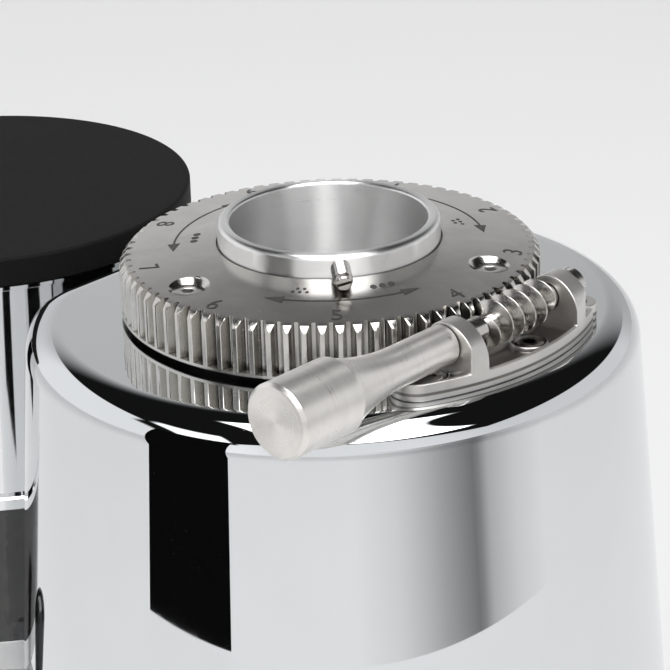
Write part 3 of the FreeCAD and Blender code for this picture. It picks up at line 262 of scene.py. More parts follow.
class Finish:
    """Builds the node tree of one material, floor or world."""

    def __init__(self, owner):
        owner.use_nodes = True
        self.tree = owner.node_tree
        self.tree.nodes.clear()

    def node(self, kind, settings=None, sockets=None, output=0):
        """One node: its settings are set first, then its sockets' values or links."""
        made = self.tree.nodes.new(kind)
        for name, value in (settings or {}).items():
            if name == "stops":
                self.set_stops(made.color_ramp, value)
            else:
                setattr(made, name, value)
        for name, value in (sockets or {}).items():
            self.feed(made.inputs[name], value)
        return Shade(self, made.outputs[output]) if len(made.outputs) else made

    @staticmethod
    def set_stops(ramp, stops):
        while len(ramp.elements) < len(stops):
            ramp.elements.new(0.5)
        for element, (position, value) in zip(ramp.elements, stops):
            element.position = position
            element.color = (*value, 1)

    def feed(self, socket, value):
        if isinstance(value, Shade):
            self.tree.links.new(value.socket, socket)
        elif hasattr(value, "__len__") and socket.type == "RGBA" and len(value) == 3:
            socket.default_value = (*value, 1)
        else:
            socket.default_value = value

    def point(self):
        """Place on the piece, in its own metres."""
        return self.node("ShaderNodeTexCoord", output=3)

    def parts(self, vector):
        split = self.node("ShaderNodeSeparateXYZ", {}, {"Vector": vector}).socket.node
        return [Shade(self, socket) for socket in split.outputs]

    def stretched(self, vector, scale, turned=(0, 0, 0)):
        """A place turned, then scaled along each axis, for marks that run one way."""
        return self.node("ShaderNodeMapping", {}, {"Vector": vector, "Rotation": turned, "Scale": scale})

    def joined(self, x, y, z):
        return self.node("ShaderNodeCombineXYZ", {}, {"X": x, "Y": y, "Z": z})

    def moved(self, vector, shift):
        return self.node("ShaderNodeVectorMath", {"operation": "SUBTRACT"}, {0: vector, 1: shift})

    def noise(self, vector, scale, detail=2.0, roughness=0.5, distortion=0.0):
        return self.node("ShaderNodeTexNoise", {"noise_dimensions": "3D"},
                         {"Vector": vector, "Scale": scale, "Detail": detail, "Roughness": roughness,
                          "Distortion": distortion})

    def cells(self, vector, scale):
        return self.node("ShaderNodeTexVoronoi", {"feature": "F1"}, {"Vector": vector, "Scale": scale})

    def blend(self, factor, first, second):
        """A colour between two colours."""
        return self.node("ShaderNodeMix", {"data_type": "RGBA"}, {0: factor, 6: first, 7: second}, output=2)

    def bump(self, height, depth, strength=1.0):
        return self.node("ShaderNodeBump", {}, {"Height": height, "Distance": depth, "Strength": strength})

    def crevices(self, reach):
        """1 in the open, towards 0 in corners narrower than the reach."""
        return self.node("ShaderNodeAmbientOcclusion", {"samples": 6}, {"Distance": reach}, output=1)

    def surface(self, **sockets):
        """The finished surface, its sockets named with underscores for spaces."""
        named = {name.replace("_", " "): value for name, value in sockets.items()}
        shader = self.node("ShaderNodeBsdfPrincipled", {}, named)
        self.node("ShaderNodeOutputMaterial", {}, {"Surface": shader})


def scaled(tint, factor):
    """A colour made lighter or darker."""
    return tuple(min(1.0, channel * factor) for channel in tint)


def new_finish(name):
    material = bpy.data.materials.new(name)
    return material, Finish(material)


def polished(finish, tint, roughness, ripple):
    """Mirror plating with wiping marks, a trace of ripple and fine dust."""
    place = finish.point()
    smear = finish.noise(place, 26, 4, 0.6, 0.6)
    wipe = finish.noise(finish.stretched(place, (60, 60, 9)), 1, 3)
    dust = finish.cells(place, 900).step(0.16, 0.06) * finish.noise(place, 60, 2).step(0.5, 0.7)
    rough = roughness + 0.05 * (smear.step(0.5, 0.85) * wipe.step(0.35, 0.7)) + 0.16 * dust
    shade = finish.blend(smear.step(0.3, 0.8), scaled(tint, 0.975), tint)
    wave = finish.noise(place, 14, 1, 0.3)
    finish.surface(Base_Color=shade, Metallic=1.0, Roughness=rough, Normal=finish.bump(wave, ripple, 0.5))


def satin_dial(finish, tint, axis):
    """Satin steel with fine turning marks, handling marks, stains and painted shade in its corners."""
    place = finish.moved(finish.point(), axis)
    x, y, z = finish.parts(place)
    radius = (x * x + y * y) ** 0.5
    rings = finish.noise(finish.joined(radius * 2600, z * 2600, 0), 1, 2)
    grain = finish.noise(place, 2600, 2, 0.6)
    wear = finish.noise(place, 70, 4, 0.6, 0.4)
    scratch = finish.noise(finish.stretched(place, (2400, 60, 60), (0, 0, 0.7)), 1, 2)
    # Painted shade: the colour darkens in corners and narrow gaps, down to an eighth of the tint.
    open_unshaded = finish.crevices(1.8 * MM).step(0.2, 0.9)
    stain = finish.noise(place, 35, 3).step(0.45, 0.75)
    clean = finish.blend(wear.step(0.3, 0.75), scaled(tint, 0.9), scaled(tint, 1.08))
    oiled = finish.blend(stain * 0.25, clean, scaled(tint, 0.72))
    shade = finish.blend(open_unshaded, scaled(tint, 0.12), oiled)
    rough = 0.13 + 0.08 * rings + 0.07 * wear - 0.04 * stain + 0.06 * scratch.step(0.62, 0.7)
    finish.surface(Base_Color=shade, Metallic=1.0, Roughness=rough,
                   Normal=finish.bump(rings * 0.7 + grain * 0.5, 0.006 * MM, 0.35))


def lathe_turned(finish, tint, roughness, axis, along="Z", streak=0.5, anisotropy=0.5, groove=0.012,
                 painted_shade=0.0, metal=1.0):
    """Metal turned on a lathe: rings round its axis, brighter and darker bands and small handling marks."""
    place = finish.moved(finish.point(), axis)
    x, y, z = finish.parts(place)
    if along == "X":
        x, y, z = y, z, x
    radius = (x * x + y * y) ** 0.5
    rings = finish.noise(finish.joined(radius * 2100, z * 2100, 0), 1, 3, 0.65)
    bands = finish.noise(finish.joined(radius * 420, z * 420, 0), 1, 2)
    wear = finish.noise(place, 140, 4, 0.6, 0.5)
    smudge = wear.step(0.56, 0.78)
    shade = finish.blend(bands * streak + wear * 0.3, scaled(tint, 0.86), scaled(tint, 1.08))
    shade = finish.blend(smudge * 0.3, shade, scaled(tint, 0.55))
    # Painted shade: where an amount is given, corners and the thread's valleys darken towards a brown black.
    if painted_shade:
        crevice_shade = (1 - finish.crevices(2.4 * MM).step(0.25, 0.85)) * painted_shade
        shade = finish.blend(crevice_shade, shade, (0.05, 0.042, 0.034))
    rough = roughness + 0.14 * (rings - 0.5) + 0.08 * (wear - 0.5)
    finish.surface(Base_Color=shade, Metallic=metal, Roughness=rough, Anisotropic=anisotropy,
                   Anisotropic_Rotation=0.25, Normal=finish.bump(rings, groove * MM, 0.5))


def satin_casting(finish, tint, roughness, grain_scale, grain_depth, pocket=None):
    """Blasted or cast metal with a fine skin, handled edges, and painted shade in its corners and on a
    pocket's floor.
    """
    place = finish.point()
    skin = finish.noise(place, grain_scale, 3, 0.6)
    pits = finish.cells(place, grain_scale * 0.6)
    cloud = finish.noise(place, 55, 4, 0.55, 0.5)
    open_unshaded = finish.crevices(2.2 * MM).step(0.1, 0.8)
    body = finish.blend(cloud.step(0.3, 0.7), scaled(tint, 0.9), scaled(tint, 1.07))
    # Painted shade on the pocket's floor: a brown darkening near its level, varied by the clouds.
    if pocket is not None:
        above = abs(finish.parts(place)[2] - pocket)
        painted_shade = (1 - above.step(0.25 * MM, 0.6 * MM)) * (0.55 + 0.45 * cloud)
        body = finish.blend(painted_shade, body, (0.075, 0.062, 0.05))
    # Painted shade: corners and narrow gaps darken towards a third of the tint.
    shade = finish.blend(open_unshaded, scaled(tint, 0.34), body)
    rough = roughness + 0.1 * (skin - 0.5) + 0.1 * (cloud - 0.5)
    finish.surface(Base_Color=shade, Metallic=0.88, Roughness=rough,
                   Normal=finish.bump(skin * 0.7 + pits * 0.3, grain_depth * MM, 0.6))


def moulded(finish, tint, roughness, grain_scale, grain_depth, coat=0.0, gloss=0.3):
    """Moulded plastic or rubber with an even grain, rubbed patches and a little dust."""
    place = finish.point()
    grain = finish.cells(place, grain_scale)
    cloud = finish.noise(place, 40, 4, 0.6, 0.4)
    dust = finish.noise(place, 1400, 2).step(0.62, 0.8) * cloud.step(0.4, 0.7)
    shade = finish.blend(dust * 0.22 + cloud * 0.12, tint, scaled(tint, 3.2))
    rough = roughness + 0.14 * (cloud - 0.5) + 0.08 * (grain - 0.5)
    finish.surface(Base_Color=shade, Roughness=rough, Specular_IOR_Level=gloss, Coat_Weight=coat,
                   Coat_Roughness=0.12, Normal=finish.bump(grain, grain_depth * MM, 0.5))


def smoked_window(finish, tint):
    """Dark glossy plastic that lets a little light through, with fine rubbing marks."""
    place = finish.point()
    rub = finish.noise(finish.stretched(place, (220, 220, 1600)), 1, 2)
    cloud = finish.noise(place, 30, 3)
    film = finish.noise(place, 160, 4, 0.65).step(0.45, 0.75)
    shade = finish.blend(film * 0.4, tint, (0.055, 0.042, 0.03))
    wave = finish.noise(place, 55, 2, 0.4, 1.2)
    finish.surface(Base_Color=shade, Roughness=0.04 + 0.08 * rub.step(0.55, 0.75) + 0.03 * cloud, Alpha=0.92,
                   Specular_IOR_Level=0.6, Coat_Weight=0.6, Coat_Roughness=0.03,
                   Normal=finish.bump(wave, 1.2 * MM, 0.5))


def laminated(finish, tint):
    """Stacked sheet steel: thin layers up the stack, with varnish between."""
    place = finish.point()
    height = finish.parts(place)[2]
    layer = abs((height * 2000).worked("FRACT") - 0.5) * 2
    blotch = finish.noise(place, 120, 3)
    edge = layer.step(0.5, 0.9)
    shade = finish.blend(edge * (0.5 + blotch * 0.5), scaled(tint, 0.35), scaled(tint, 1.15))
    finish.surface(Base_Color=shade, Metallic=0.85, Roughness=0.55 + 0.2 * (blotch - 0.5),
                   Normal=finish.bump(layer, 0.05 * MM, 0.6))


def wound_copper(finish, tint, axis):
    """Varnished copper turns laid round the stack."""
    place = finish.moved(finish.point(), axis)
    x, y, z = finish.parts(place)
    radius = (x * x + y * y) ** 0.5
    turns = abs(((radius + z * 0.6) * 1100).worked("FRACT") - 0.5) * 2
    blotch = finish.noise(place, 90, 3)
    shade = finish.blend(turns.step(0.1, 0.7) * (0.6 + blotch * 0.4), scaled(tint, 0.25), tint)
    finish.surface(Base_Color=shade, Metallic=0.7, Roughness=0.35 + 0.2 * blotch, Coat_Weight=0.4,
                   Normal=finish.bump(turns, 0.2 * MM, 0.8))


def marking_fill(finish, tint):
    """Dark fill of the cut numbers and arrows, worn thin in places."""
    place = finish.point()
    worn = finish.noise(place, 700, 4, 0.65).step(0.56, 0.72)
    shade = finish.blend(worn * 0.6, tint, (0.16, 0.155, 0.15))
    finish.surface(Base_Color=shade, Metallic=0.3, Roughness=0.5 + 0.2 * worn)


FINISHES = {}


def make_finishes(tints):
    """Makes every finish once, by its recipe and from the values named beside it."""
    burr_axis = (0, BURR_AXIS.y, 0)
    doser_axis = (0, DOSER_AXIS.y, 0)
    worm_axis = (0, WORM_AXIS.y, WORM_AXIS.z)
    here = (0, 0, 0)
    # Level of the bracket's pocket floor, which carries painted shade.
    pocket_floor = BODY_HIGH.z + 2 * MM
    brushed = {"tint": tints.collar, "roughness": 0.31, "streak": 0.3, "anisotropy": 0.9}
    rows = (
        ("mirror_chrome", polished, {"tint": tints.chrome, "roughness": 0.012, "ripple": 0.02 * MM}),
        ("dial_steel", satin_dial, {"tint": tints.dial, "axis": here}),
        ("collar_aluminium", lathe_turned, {**brushed, "axis": here}),
        ("funnel_aluminium", lathe_turned, {**brushed, "axis": burr_axis}),
        ("turned_steel", lathe_turned, {"tint": tints.turned, "roughness": 0.3, "axis": burr_axis}),
        # The worm's and the stud's thread valleys carry painted shade.
        ("worm_steel", lathe_turned, {"tint": tints.turned, "roughness": 0.25, "axis": here,
                                      "anisotropy": 0.3, "painted_shade": 0.9}),
        ("knob_steel", lathe_turned, {"tint": scaled(tints.turned, 1.2), "roughness": 0.3, "axis": here,
                                      "streak": 0.7, "anisotropy": 0.8, "groove": 0.02, "metal": 0.88}),
        ("nut_steel", lathe_turned, {"tint": tints.turned, "roughness": 0.26, "axis": worm_axis,
                                     "along": "X"}),
        ("axle_steel", lathe_turned, {"tint": tints.turned, "roughness": 0.3, "axis": doser_axis}),
        ("bracket_nickel", satin_casting, {"tint": tints.nickel, "roughness": 0.36, "grain_scale": 1500,
                                           "grain_depth": 0.012, "pocket": pocket_floor}),
        ("screw_steel", lathe_turned, {"tint": (0.6, 0.59, 0.57), "roughness": 0.22, "axis": here,
                                       "anisotropy": 0.2}),
        ("doser_steel", polished, {"tint": tints.doser, "roughness": 0.05, "ripple": 0.03 * MM}),
        ("smoked_plastic", smoked_window, {"tint": tints.smoke}),
        ("black_plastic", moulded, {"tint": tints.black, "roughness": 0.6, "grain_scale": 1100,
                                    "grain_depth": 0.03, "gloss": 0.06}),
        ("grip_plastic", moulded, {"tint": scaled(tints.black, 0.7), "roughness": 0.16, "grain_scale": 500,
                                   "grain_depth": 0.004, "coat": 0.5}),
        ("cast_aluminium", satin_casting, {"tint": tints.cast, "roughness": 0.4, "grain_scale": 900,
                                           "grain_depth": 0.03}),
        ("fork_steel", polished, {"tint": scaled(tints.doser, 0.97), "roughness": 0.1, "ripple": 0.03 * MM}),
        ("burr_steel", lathe_turned, {"tint": (0.45, 0.45, 0.46), "roughness": 0.34, "axis": burr_axis}),
        ("plate_steel", satin_casting, {"tint": (0.5, 0.5, 0.51), "roughness": 0.42, "grain_scale": 500,
                                        "grain_depth": 0.01}),
        ("lamination_steel", laminated, {"tint": (0.3, 0.3, 0.31)}),
        ("copper_winding", wound_copper, {"tint": (0.6, 0.3, 0.15), "axis": burr_axis}),
        ("rubber", moulded, {"tint": tints.rubber, "roughness": 0.75, "grain_scale": 800,
                             "grain_depth": 0.05}),
        ("marking", marking_fill, {"tint": tints.marking}),
    )
    for name, recipe, values in rows:
        FINISHES[name], finish = new_finish(name)
        recipe(finish, **values)


def finish_named(name):
    """A finish by its name; the first call makes them all."""
    if not FINISHES:
        make_finishes(bpy.context.scene.grinder_colours)
    return FINISHES[name]


def put_in_scene(name, data):
    """A new object in the scene."""
    item = bpy.data.objects.new(name, data)
    bpy.context.scene.collection.objects.link(item)
    return item


def new_piece(name, mesh, body, slot, finish=None, replaced=(), place=None):
    """Puts a mesh in the scene as a piece that rides on a body."""
    piece = put_in_scene(name, mesh)
    if place is not None:
        piece.matrix_world = place
    mesh.materials.append(finish_named(finish or slot))
    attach(piece, body)
    if replaced:
        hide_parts(*replaced)
    return piece


def to_mesh(name, shape, sharp=SHARP):
    """Turns a finished bmesh into a mesh, smooth but for edges sharper than the given angle."""
    bmesh.ops.recalc_face_normals(shape, faces=shape.faces)
    mesh = bpy.data.meshes.new(name)
    shape.to_mesh(mesh)
    shape.free()
    mesh.shade_smooth()
    mesh.set_sharp_from_angle(angle=math.radians(sharp))
    return mesh


def face_up(mesh):
    """Turns every face of a level sheet towards the sky."""
    for face in mesh.polygons:
        if face.normal.z < 0:
            face.flip()


def even_normals(piece):
    """Lets flat faces keep their own direction beside narrow edge rounds."""
    weights = piece.modifiers.new("even_normals", "WEIGHTED_NORMAL")
    weights.keep_sharp = True
    return piece


def rounded(corners, parts=4):
    """A closed outline from (across, up, round) corners, each round drawn in short steps."""
    points = []
    for index, (across, up, bend) in enumerate(corners):
        here = Vector((across, up))
        if bend == 0:
            points.append(here)
            continue
        into = Vector(corners[index - 1][:2]) - here
        out = Vector(corners[(index + 1) % len(corners)][:2]) - here
        half = into.angle(out) / 2
        reach = min(bend / math.tan(half), 0.49 * into.length, 0.49 * out.length)
        into.normalize()
        out.normalize()
        centre = here + (into + out).normalized() * (reach / math.cos(half))
        first = here + into * reach - centre
        last = here + out * reach - centre
        sweep = first.angle(last)
        for step in range(parts + 1):
            near = math.sin((1 - step / parts) * sweep) / math.sin(sweep)
            far = math.sin(step / parts * sweep) / math.sin(sweep)
            points.append(centre + first * near + last * far)
    return points


def add_skin(shape, rings, closed_round=True, closed_along=False):
    """Quads between neighbouring rings of vertices; a ring of one vertex becomes a fan."""
    pairs = list(zip(rings, rings[1:]))
    if closed_along:
        pairs.append((rings[-1], rings[0]))
    for first, second in pairs:
        count = max(len(first), len(second))
        for index in range(count if closed_round else count - 1):
            after = (index + 1) % count
            corners = []
            for corner in (first[index % len(first)], first[after % len(first)],
                           second[after % len(second)], second[index % len(second)]):
                if corner not in corners:
                    corners.append(corner)
            if len(corners) > 2:
                shape.faces.new(corners)


def turned_rings(shape, profile, steps):
    """Rings of vertices round the Z axis, one for each (radius, height) point."""
    on_axis = 1e-7
    rings = []
    for radius, height in profile:
        if radius < on_axis:
            rings.append([shape.verts.new((0, 0, height))])
            continue
        angles = [math.tau * step / steps for step in range(steps)]
        rings.append([shape.verts.new((radius * math.cos(angle), radius * math.sin(angle), height))
                      for angle in angles])
    return rings


def add_turned(shape, profile, steps, closed=True):
    """A profile of (radius, height) points turned round the Z axis."""
    add_skin(shape, turned_rings(shape, profile, steps), closed_along=closed)


def turned_mesh(name, corners, steps, parts=4, sharp=SHARP):
    """A mesh turned round the Z axis from an outline with rounded corners."""
    shape = bmesh.new()
    add_turned(shape, rounded(corners, parts), steps)
    return to_mesh(name, shape, sharp)


def add_thread(shape, section, pitch, start, turns, steps, fade):
    """A right-handed thread: (radius, along) points swept round the Z axis, run out at both ends."""
    rings = []
    total = int(turns * steps)
    base = section[0][0]
    for step in range(total + 1):
        angle = math.tau * step / steps
        middle = start + pitch * step / steps
        grown = min(1.0, step / fade, (total - step) / fade)
        ring = []
        for radius, along in section:
            reach = base + (radius - base) * grown
            ring.append(shape.verts.new((reach * math.cos(angle), reach * math.sin(angle), middle + along)))
        rings.append(ring)
    add_skin(shape, rings)
    shape.faces.new(rings[0])
    shape.faces.new(rings[-1])


def join_part(shape, part):
    """Moves all of a finished bmesh into another."""
    mesh = bpy.data.meshes.new("part")
    part.to_mesh(mesh)
    part.free()
    shape.from_mesh(mesh)
    bpy.data.meshes.remove(mesh)


def cut_away(piece, tool_mesh):
    """Cuts a tool's shape out of a piece for good."""
    tool = put_in_scene("cutter", tool_mesh)
    tool.matrix_world = piece.matrix_world
    cutter = piece.modifiers.new("cut", "BOOLEAN")
    cutter.operation = "DIFFERENCE"
    cutter.solver = "EXACT"
    cutter.object = tool
    bpy.context.view_layer.update()
    seen = piece.evaluated_get(bpy.context.evaluated_depsgraph_get())
    mesh = bpy.data.meshes.new_from_object(seen)
    fewest_faces = 10
    if len(mesh.polygons) < fewest_faces:
        raise RuntimeError(f"{piece.name} was lost in its cut")
    piece.modifiers.remove(cutter)
    old = piece.data
    piece.data = mesh
    mesh.name = piece.name
    bpy.data.meshes.remove(old)
    bpy.data.objects.remove(tool)
    bpy.data.meshes.remove(tool_mesh)
    mesh.shade_smooth()
    mesh.set_sharp_from_angle(angle=math.radians(SHARP))


def dress(node, finish, edge=0.0, parts=2):
    """Gives a packed solid its finish and, where asked, softly broken edges."""
    item = frame["nodes"][node]
    item.data.materials.clear()
    item.data.materials.append(finish_named(finish))
    if not edge:
        return
    weld_reach = 0.002 * MM
    flat_within = math.radians(0.5)
    broken_above = math.radians(38)
    weld = item.modifiers.new("weld", "WELD")
    weld.merge_threshold = weld_reach
    plain = item.modifiers.new("plain_faces", "DECIMATE")
    plain.decimate_type = "DISSOLVE"
    plain.angle_limit = flat_within
    broken = item.modifiers.new("broken_edges", "BEVEL")
    broken.width = edge
    broken.segments = parts
    broken.limit_method = "ANGLE"
    broken.angle_limit = broken_above
    broken.use_clamp_overlap = False
    broken.harden_normals = False
    smooth = item.modifiers.new("even_normals", "WEIGHTED_NORMAL")
    smooth.keep_sharp = False


class CasingOutline:
    """Plan of the casing: each column has a point at the top and the direction in which it moves outwards."""

    BACK_STEPS = 300
    CORNER_STEPS = 40
    FRONT_STEPS = 8

    def __init__(self, sizes):
        self.sizes = sizes
        centre_out = sizes.top_radius - sizes.corner_radius
        self.corner_y = sizes.front_reach - sizes.corner_radius
        self.corner_x = math.sqrt(centre_out ** 2 - self.corner_y ** 2)
        self.meet = math.atan2(-self.corner_y, self.corner_x)
        self.columns = []

    def add_arc(self, centre, radius, start, end, steps, keep=()):
        """Columns along an arc, those nearest to the kept angles moved onto them."""
        angles = [start + (end - start) * step / steps for step in range(steps)]
        for angle in keep:
            nearest = min(range(1, steps), key=lambda index: abs(angles[index] - angle))
            angles[nearest] = angle
        for angle in angles:
            way = Vector((math.cos(angle), math.sin(angle)))
            self.columns.append((Vector(centre) + way * radius, way))

    def build(self, flank_half, port_half):
        """The columns in order round the casing, some of them on the edges of its two holes."""
        sizes = self.sizes
        flank = flank_half / (sizes.top_radius + sizes.flare * 0.8)
        self.add_arc((0, 0), sizes.top_radius, self.meet, math.pi - self.meet, self.BACK_STEPS,
                     (math.pi - flank, math.pi + flank))
        self.add_arc((-self.corner_x, -self.corner_y), sizes.corner_radius, math.pi - self.meet,
                     1.5 * math.pi, self.CORNER_STEPS)
        front = [-self.corner_x, -port_half, port_half]
        for left, right in zip(front, front[1:] + [self.corner_x]):
            for step in range(self.FRONT_STEPS):
                across = left + (right - left) * step / self.FRONT_STEPS
                self.columns.append((Vector((across, -sizes.front_reach)), Vector((0, -1))))
        self.add_arc((self.corner_x, -self.corner_y), sizes.corner_radius, 1.5 * math.pi,
                     math.tau + self.meet, self.CORNER_STEPS)
        return self.columns


class GRINDER_OT_casing(bpy.types.Operator):
    """Draws the chromed casing as a fine shell with true normals, and the holes behind its fittings"""
    bl_idname = "grinder.casing"
    bl_label = "Casing"

    SWITCH_HALF = (8 * MM, 13.5 * MM)
    SWITCH_LEVEL = 62 * MM
    PORT_HALF = 15 * MM
    FRONT_BEYOND = -60 * MM
    ROLL_STEPS = 24
    LINING_DROP = 4 * MM

    def profile(self, sizes):
        """(moved out, level, tilt of the normal) rows from the top down the wall, and the holes' levels."""
        top = BODY_HIGH.z
        tall = top - BODY_LOW.z
        slope = math.atan2(sizes.flare, tall)
        roll = sizes.shoulder_radius
        centre_out = -(roll - roll * math.sin(slope)) / math.cos(slope)
        centre_up = top - roll
        rows = [(centre_out, top, math.pi / 2)]
        for step in range(1, self.ROLL_STEPS + 1):
            tilt = math.pi / 2 + (slope - math.pi / 2) * step / self.ROLL_STEPS
            rows.append((centre_out + roll * math.cos(tilt), centre_up + roll * math.sin(tilt), tilt))
        chute_low, chute_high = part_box("discharge_chute")
        marks = [chute_high.z, chute_low.z, self.SWITCH_LEVEL + self.SWITCH_HALF[1],
                 self.SWITCH_LEVEL - self.SWITCH_HALF[1]]
        levels = [235 * MM, 228 * MM, marks[0], marks[1], 195 * MM, 180 * MM, 160 * MM, 140 * MM, 120 * MM,
                  100 * MM, 85 * MM, marks[2], 68 * MM, 56 * MM, marks[3], 40 * MM, 30 * MM, 20 * MM,
                  BODY_LOW.z]
        rows += [((top - level) * sizes.flare / tall, level, slope) for level in levels]
        return rows, marks

    def execute(self, context):
        sizes = context.scene.grinder_casing
        columns = CasingOutline(sizes).build(self.SWITCH_HALF[0], self.PORT_HALF)
        rows, marks = self.profile(sizes)
        shape = bmesh.new()
        rings = []
        normals = []

        def add_ring(places, directions):
            rings.append([shape.verts.new(place) for place in places])
            normals.extend(directions)

        # The flat top from its opening outwards, then the roll and the wall, then the lining.
        for reach in (1.0, 0.6, 0.3):
            places = []
            for base, way in columns:
                edge = base + way * rows[0][0]
                hole = edge.normalized() * sizes.opening_radius
                flat = edge.lerp(hole, reach)
                places.append((flat.x, flat.y, BODY_HIGH.z))
            add_ring(places, [(0, 0, 1)] * len(places))
        for out, level, tilt in rows:
            places = [(base.x + way.x * out, base.y + way.y * out, level) for base, way in columns]
            add_ring(places, [(way.x * math.cos(tilt), way.y * math.cos(tilt), math.sin(tilt))
                              for _, way in columns])
        for out, level, _ in (rows[-1], *rows[self.ROLL_STEPS:3:-4]):
            back = out - sizes.wall
            lower = min(level, BODY_HIGH.z - self.LINING_DROP)
            places = [(base.x + way.x * back, base.y + way.y * back, lower) for base, way in columns]
            add_ring(places, [(-way.x, -way.y, 0) for _, way in columns])
        add_skin(shape, rings)
        bmesh.ops.reverse_faces(shape, faces=shape.faces)
        self.open_holes(shape, marks)
        shape.verts.index_update()
        mesh = bpy.data.meshes.new("casing_shell")
        shape.to_mesh(mesh)
        shape.free()
        mesh.shade_smooth()
        mesh.normals_split_custom_set_from_vertices(normals)
        new_piece("casing_shell", mesh, "frame", "mirror_chrome", replaced=["body_housing"],
                  place=ON_BURR_AXIS)
        return {"FINISHED"}

    def open_holes(self, shape, marks):
        """Leaves out the faces behind the switch and the chute."""
        slack = 0.05 * MM
        holes = []
        for face in shape.faces:
            middle = face.calc_center_median()
            behind_switch = (middle.x < 0 and abs(middle.y) < self.SWITCH_HALF[0] + slack
                             and marks[3] < middle.z < marks[2])
            behind_chute = (middle.y < self.FRONT_BEYOND and abs(middle.x) < self.PORT_HALF
                            and marks[1] < middle.z < marks[0])
            if behind_switch or behind_chute:
                holes.append(face)
        if not holes:
            raise RuntimeError("the casing has no holes behind its fittings")
        bmesh.ops.delete(shape, geom=holes, context="FACES_ONLY")


def dial_level(sizes, radius):
    """Height of the dial's coned face at a radius."""
    rise = sizes.cone_rise / (sizes.tip_radius - COLLAR_HIGH.x)
    return GEAR_HIGH.z - sizes.cone_rise + (sizes.tip_radius - radius) * rise


class GRINDER_OT_dial(bpy.types.Operator):
    """Draws the toothed dial with chamfered teeth, its coned face and its countersinks"""
    bl_idname = "grinder.dial"
    bl_label = "Toothed dial"

    LIP = 1 * MM
    FACE_RADII = (33 * MM, 36 * MM, 40 * MM, 44 * MM, 48 * MM, 51 * MM, 53.5 * MM)

    def tooth_outline(self, sizes, cut=0.0):
        """(angle, radius, is tip) points round the gear, with a gap at the worm's side and teeth cut down."""
        tip = sizes.tip_radius
        root = tip - sizes.root_depth
        module = 2 * tip / (sizes.teeth + 2)
        quarter = math.pi * module / 4
        lean = FLANK_LEAN
        soft = 0.14 * MM
        low = quarter - 1.25 * module * lean
        high = quarter + module * lean - cut * lean
        top = tip - cut
        foot = 0.12 * MM
        half = [(low - foot, root, False), (low + foot, root + foot, False),
                (high - soft * lean, top - soft, True), (high + soft, top, True)]
        points = []
        for gap in range(sizes.teeth):
            middle = math.pi / 2 + math.tau * gap / sizes.teeth
            for side, corners in ((-1, reversed(half)), (1, half)):
                for across, radius, is_tip in corners:
                    points.append((middle + math.atan2(side * across, radius), radius, is_tip))
        return points

    def execute(self, context):
        sizes = context.scene.grinder_dial
        outline = self.tooth_outline(sizes)
        root = sizes.tip_radius - sizes.root_depth
        lip_low = GEAR_LOW.z
        teeth_low = lip_low + self.LIP
        chamfer_low = teeth_low + sizes.tooth_height - sizes.tip_chamfer
        pocket = root - 3 * MM
        under = COLLAR_LOW.z
        shape = bmesh.new()

        def ring(rows):
            return [shape.verts.new((radius * math.cos(angle), radius * math.sin(angle), level))
                    for angle, radius, level in rows]

        def circle(radius, level):
            return ring([(angle, radius, level) for angle, _, _ in outline])

        def gear(level):
            return ring([(angle, radius, level) for angle, radius, _ in outline])

        def cut_down(cut, drop):
            return ring([(angle, radius, dial_level(sizes, radius) - drop)
                         for angle, radius, _ in self.tooth_outline(sizes, cut)])

        # The face, from a groove beside the collar out to the teeth.
        soft = 0.12 * MM
        groove = 0.45 * MM
        rings = [circle(COLLAR_HIGH.x, GEAR_HIGH.z - 2 * groove),
                 circle(COLLAR_HIGH.x + groove / 3, GEAR_HIGH.z - 2 * groove),
                 circle(COLLAR_HIGH.x + groove, dial_level(sizes, COLLAR_HIGH.x + groove))]
        for radius in self.FACE_RADII:
            rings.append(circle(radius, dial_level(sizes, radius)))
        edge = root - 0.5 * MM
        rings.append(circle(edge, dial_level(sizes, edge)))
        # The teeth's chamfers and flanks, then the lip and the hollow under the face.
        rings.append(cut_down(sizes.tip_chamfer + soft, 0))
        rings.append(cut_down(sizes.tip_chamfer, soft * 0.6))
        root_rise = 0.5 * MM
        rings.append(ring([(angle, radius, chamfer_low if is_tip else chamfer_low + root_rise)
                           for angle, radius, is_tip in outline]))
        rings.append(gear(teeth_low))
        rings.append(circle(sizes.tip_radius, teeth_low - 0.02 * MM))
        lip_break = 0.15 * MM
        rings.append(circle(sizes.tip_radius, lip_low + lip_break))
        rings.append(circle(sizes.tip_radius - lip_break, lip_low))
        rings.append(circle(pocket, lip_low))
        rings.append(circle(pocket, under))
        rings.append(circle(COLLAR_HIGH.x, under))
        add_skin(shape, rings, closed_along=True)
        mesh = to_mesh("toothed_dial", shape, sharp=28)
        piece = new_piece("toothed_dial", mesh, "dial", "dial_steel", replaced=["ring_gear"],
                          place=ON_BURR_AXIS)
        cut_away(piece, self.countersinks(sizes))
        even_normals(piece)
        return {"FINISHED"}

    def countersinks(self, sizes):
        """The shapes to cut for the screws, with a broken edge at the dial's face."""
        tools = bmesh.new()
        level = dial_level(sizes, sizes.screw_circle)
        bottom = level - 8 * MM
        top = level + 2 * MM
        shank = 2.05 * MM
        head = 4.55 * MM
        for index in range(3):
            angle = sizes.screw_turn + math.tau * index / 3
            shape = bmesh.new()
            profile = [(0, bottom), (shank, bottom), (shank, level - 4.2 * MM), (head, level - 1.6 * MM),
                       (head, level - 1.2 * MM), (6.0 * MM, level), (6.6 * MM, top), (0, top)]
            add_turned(shape, profile, steps=64, closed=False)
            spot = Vector((math.cos(angle), math.sin(angle), 0)) * sizes.screw_circle
            bmesh.ops.translate(shape, verts=shape.verts, vec=spot)
            join_part(tools, shape)
        return to_mesh("countersinks", tools)


